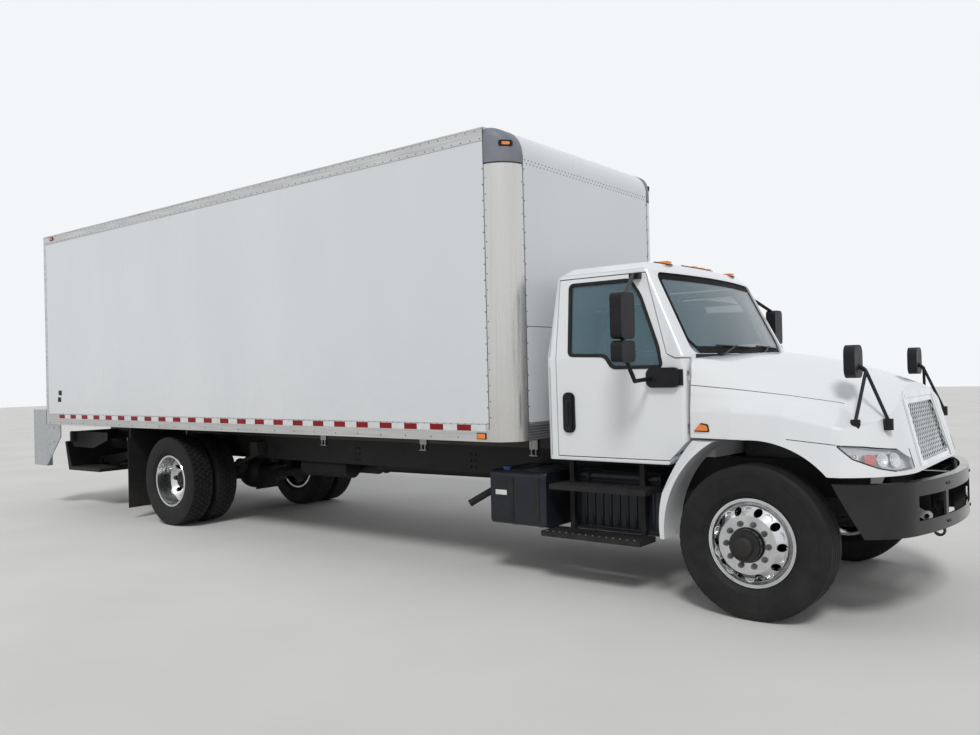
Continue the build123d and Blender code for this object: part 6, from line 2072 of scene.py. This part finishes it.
@dataclass
class Cabin:
    """Padded seats and the dashboard's face."""

    seat_y: float = 0.480


    def make(self) -> None:
        """Build every piece inside the cab."""
        for side in SIDES:
            self.seat(side)
        self.dash_face()

    def _pad(self, name: str, centre: Point, size: Point, lean: float,
             crown: float) -> bpy.types.Object:
        """Build one crowned cushion with two sewn channels.

        Args:
            name: Name of the piece.
            centre: Its middle.
            size: Its length, width and thickness, before it leans.
            lean: Its turn about Y in degrees.
            crown: How far its broad faces bulge.

        Returns:
            The cushion.
        """
        bm = bmesh.new()
        bmesh.ops.create_cube(bm, size=2.0)
        bmesh.ops.subdivide_edges(bm, edges=bm.edges[:], cuts=11, use_grid_fill=True)
        for vert in bm.verts:
            u, v, w = vert.co
            bulge = (1 - u * u) * (1 - v * v)
            channel = 0.3 * math.exp(-((abs(v) - 0.42) / 0.07) ** 2)
            pull = (1 - 0.05 * (1 - w * w)) * (1 - 0.06 * w * w)
            thick = (size[2] / 2 - crown) * w + crown * w * bulge * (1 - channel)
            vert.co = Vector((u * size[0] / 2 * pull, v * size[1] / 2 * pull, thick))
        bmesh.ops.smooth_vert(bm, verts=bm.verts, factor=0.5, use_axis_x=True, use_axis_y=True,
                              use_axis_z=True)
        place = Matrix.Translation(centre) @ tilted(lean)
        bmesh.ops.transform(bm, matrix=place, verts=bm.verts)
        piece = build(name, bm, CLOTH, sharp=80.0)
        rounder = piece.modifiers.new("rounder", "SUBSURF")
        rounder.levels = 1
        rounder.render_levels = 1
        return piece

    def seat(self, side: int) -> None:
        """Build one seat: cushion, back, headrest and pedestal.

        Args:
            side: The side.
        """
        name = side_name(side)
        y = side * self.seat_y
        cushion = self._pad(f"seat_cushion_{name}", (ahead(-1.135), y, 1.432), (0.40, 0.48, 0.115),
                            -3.0, 0.018)
        back = self._pad(f"seat_back_{name}", (ahead(-1.402), y, 1.765), (0.56, 0.47, 0.085),
                         97.0, 0.015)
        head = self._pad(f"seat_headrest_{name}", (ahead(-1.435), y, 2.125), (0.14, 0.25, 0.075),
                         92.0, 0.015)
        for piece in (cushion, back, head):
            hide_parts("seats")
        bm = bmesh.new()
        add_block(bm, (ahead(-1.18), y, 1.215), (0.30, 0.30, 0.28), 0.02)
        add_block(bm, (ahead(-1.18), y, 1.083), (0.36, 0.36, 0.022), 0.005)
        add_block(bm, (ahead(-1.19), y, 1.362), (0.40, 0.42, 0.02), 0.006)
        for edge in SIDES:
            stalk = y + edge * 0.05
            add_rod(bm, (ahead(-1.430), stalk, 2.02), (ahead(-1.435), stalk, 2.09), 0.006, 10)
        build(f"seat_base_{name}", bm, TRIM)

    def dash_face(self) -> None:
        """Build the dashboard's instrument hood, vents and glove box line."""
        bm = bmesh.new()
        add_block(bm, (ahead(-0.712), self.seat_y, 1.735), (0.13, 0.42, 0.02), 0.006, tilted(38))
        for y in (-0.80, -0.18, 0.12, 0.80):
            for index in range(5):
                add_block(bm, (ahead(-0.773), y, 1.60 + index * 0.016), (0.008, 0.12, 0.005), 0.001)
        add_block(bm, (ahead(-0.772), -0.48, 1.60), (0.006, 0.36, 0.09), 0.002)
        build("dash_face", bm, PLASTIC)


class Studio:
    """Camera, lights, backdrop and floor."""

    place: Point = (6.73697, -6.69932, 1.69103)
    yaw: float = 0.66606
    pitch: float = 0.00672
    roll: float = -0.02344
    lens: float = 31.23
    floor_half: float = 60.0
    floor_colour: Colour = (0.70, 0.69, 0.67)
    sky: Colour = (0.90, 0.92, 0.94)
    fill: float = 0.56
    sun: float = 1.55

    def make(self) -> None:
        """Set up the camera, the light and the floor."""
        self.camera()
        self.world()
        self.lamp()
        self.floor()

    def camera(self) -> None:
        """Place the camera at the photograph's angle."""
        ahead_way = Vector((-math.sin(self.yaw) * math.cos(self.pitch),
                            math.cos(self.yaw) * math.cos(self.pitch), math.sin(self.pitch)))
        level = Vector((math.cos(self.yaw), math.sin(self.yaw), 0.0))
        up = level.cross(ahead_way)
        across = level * math.cos(self.roll) + up * math.sin(self.roll)
        over = up * math.cos(self.roll) - level * math.sin(self.roll)
        turn = Matrix((across, over, -ahead_way)).transposed().to_4x4()
        data = bpy.data.cameras.new("camera")
        data.lens = self.lens
        data.sensor_width = 36.0
        data.clip_end = 300.0
        camera = bpy.data.objects.new("camera", data)
        bpy.context.scene.collection.objects.link(camera)
        camera.matrix_world = Matrix.Translation(self.place) @ turn
        bpy.context.scene.camera = camera

    def world(self) -> None:
        """Give an even light, and a pale background where the camera or a reflection sees it."""
        world = bpy.data.worlds.new("world")
        bpy.context.scene.world = world
        world.use_nodes = True
        nodes = Nodes(world.node_tree)
        light = world.node_tree.nodes["Background"]
        nodes.fill(light, {"Color": (*self.sky, 1.0), "Strength": self.fill})
        seen = nodes.add("Background", {"Color": (*self.sky, 1.0), "Strength": 1.0})
        path = nodes.add("LightPath", {}).outputs
        either = nodes.calc("MAXIMUM", path["Is Camera Ray"], path["Is Glossy Ray"])
        any_ray = nodes.calc("MAXIMUM", either, path["Is Transmission Ray"])
        mix = nodes.add("MixShader", {"Fac": any_ray, 1: light.outputs[0], 2: seen.outputs[0]})
        nodes.fill(world.node_tree.nodes["World Output"], {"Surface": mix.outputs[0]})

    def lamp(self) -> None:
        """Add one wide soft sun from over the camera's right shoulder."""
        data = bpy.data.lights.new("sun", "SUN")
        data.energy = self.sun
        data.angle = math.radians(14)
        lamp = bpy.data.objects.new("sun", data)
        bpy.context.scene.collection.objects.link(lamp)
        lamp.matrix_world = facing(Vector((0.5, -0.8, 1.0)))

    def floor(self) -> None:
        """Lay the pale floor."""
        bm = bmesh.new()
        bmesh.ops.create_grid(bm, x_segments=2, y_segments=2, size=self.floor_half)
        mesh = bpy.data.meshes.new("floor")
        bm.to_mesh(mesh)
        bm.free()
        ground = Finish("floor", Pattern.CAST, self.floor_colour,
                        tuple(part * 0.94 for part in self.floor_colour), (0.75, 0.9), scale=0.6,
                        grain=14.0, bump=0.1)
        mesh.materials.append(ground.material())
        floor = bpy.data.objects.new("floor", mesh)
        bpy.context.scene.collection.objects.link(floor)


def main() -> None:
    """Load the solids, dress them, and set the stage."""
    logging.basicConfig(level=logging.INFO, format="%(message)s")
    FRAME.update(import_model())
    dress_nodes()
    for part in (RunningGear(), VanBody(), Cab(), Nose(), Chassis(), Liftgate(), Cabin()):
        part.make()
        LOG.info("made %s", type(part).__name__)
    Studio().make()
    bpy.context.scene.view_settings.view_transform = "Standard"


if __name__ == "__main__":
    main()
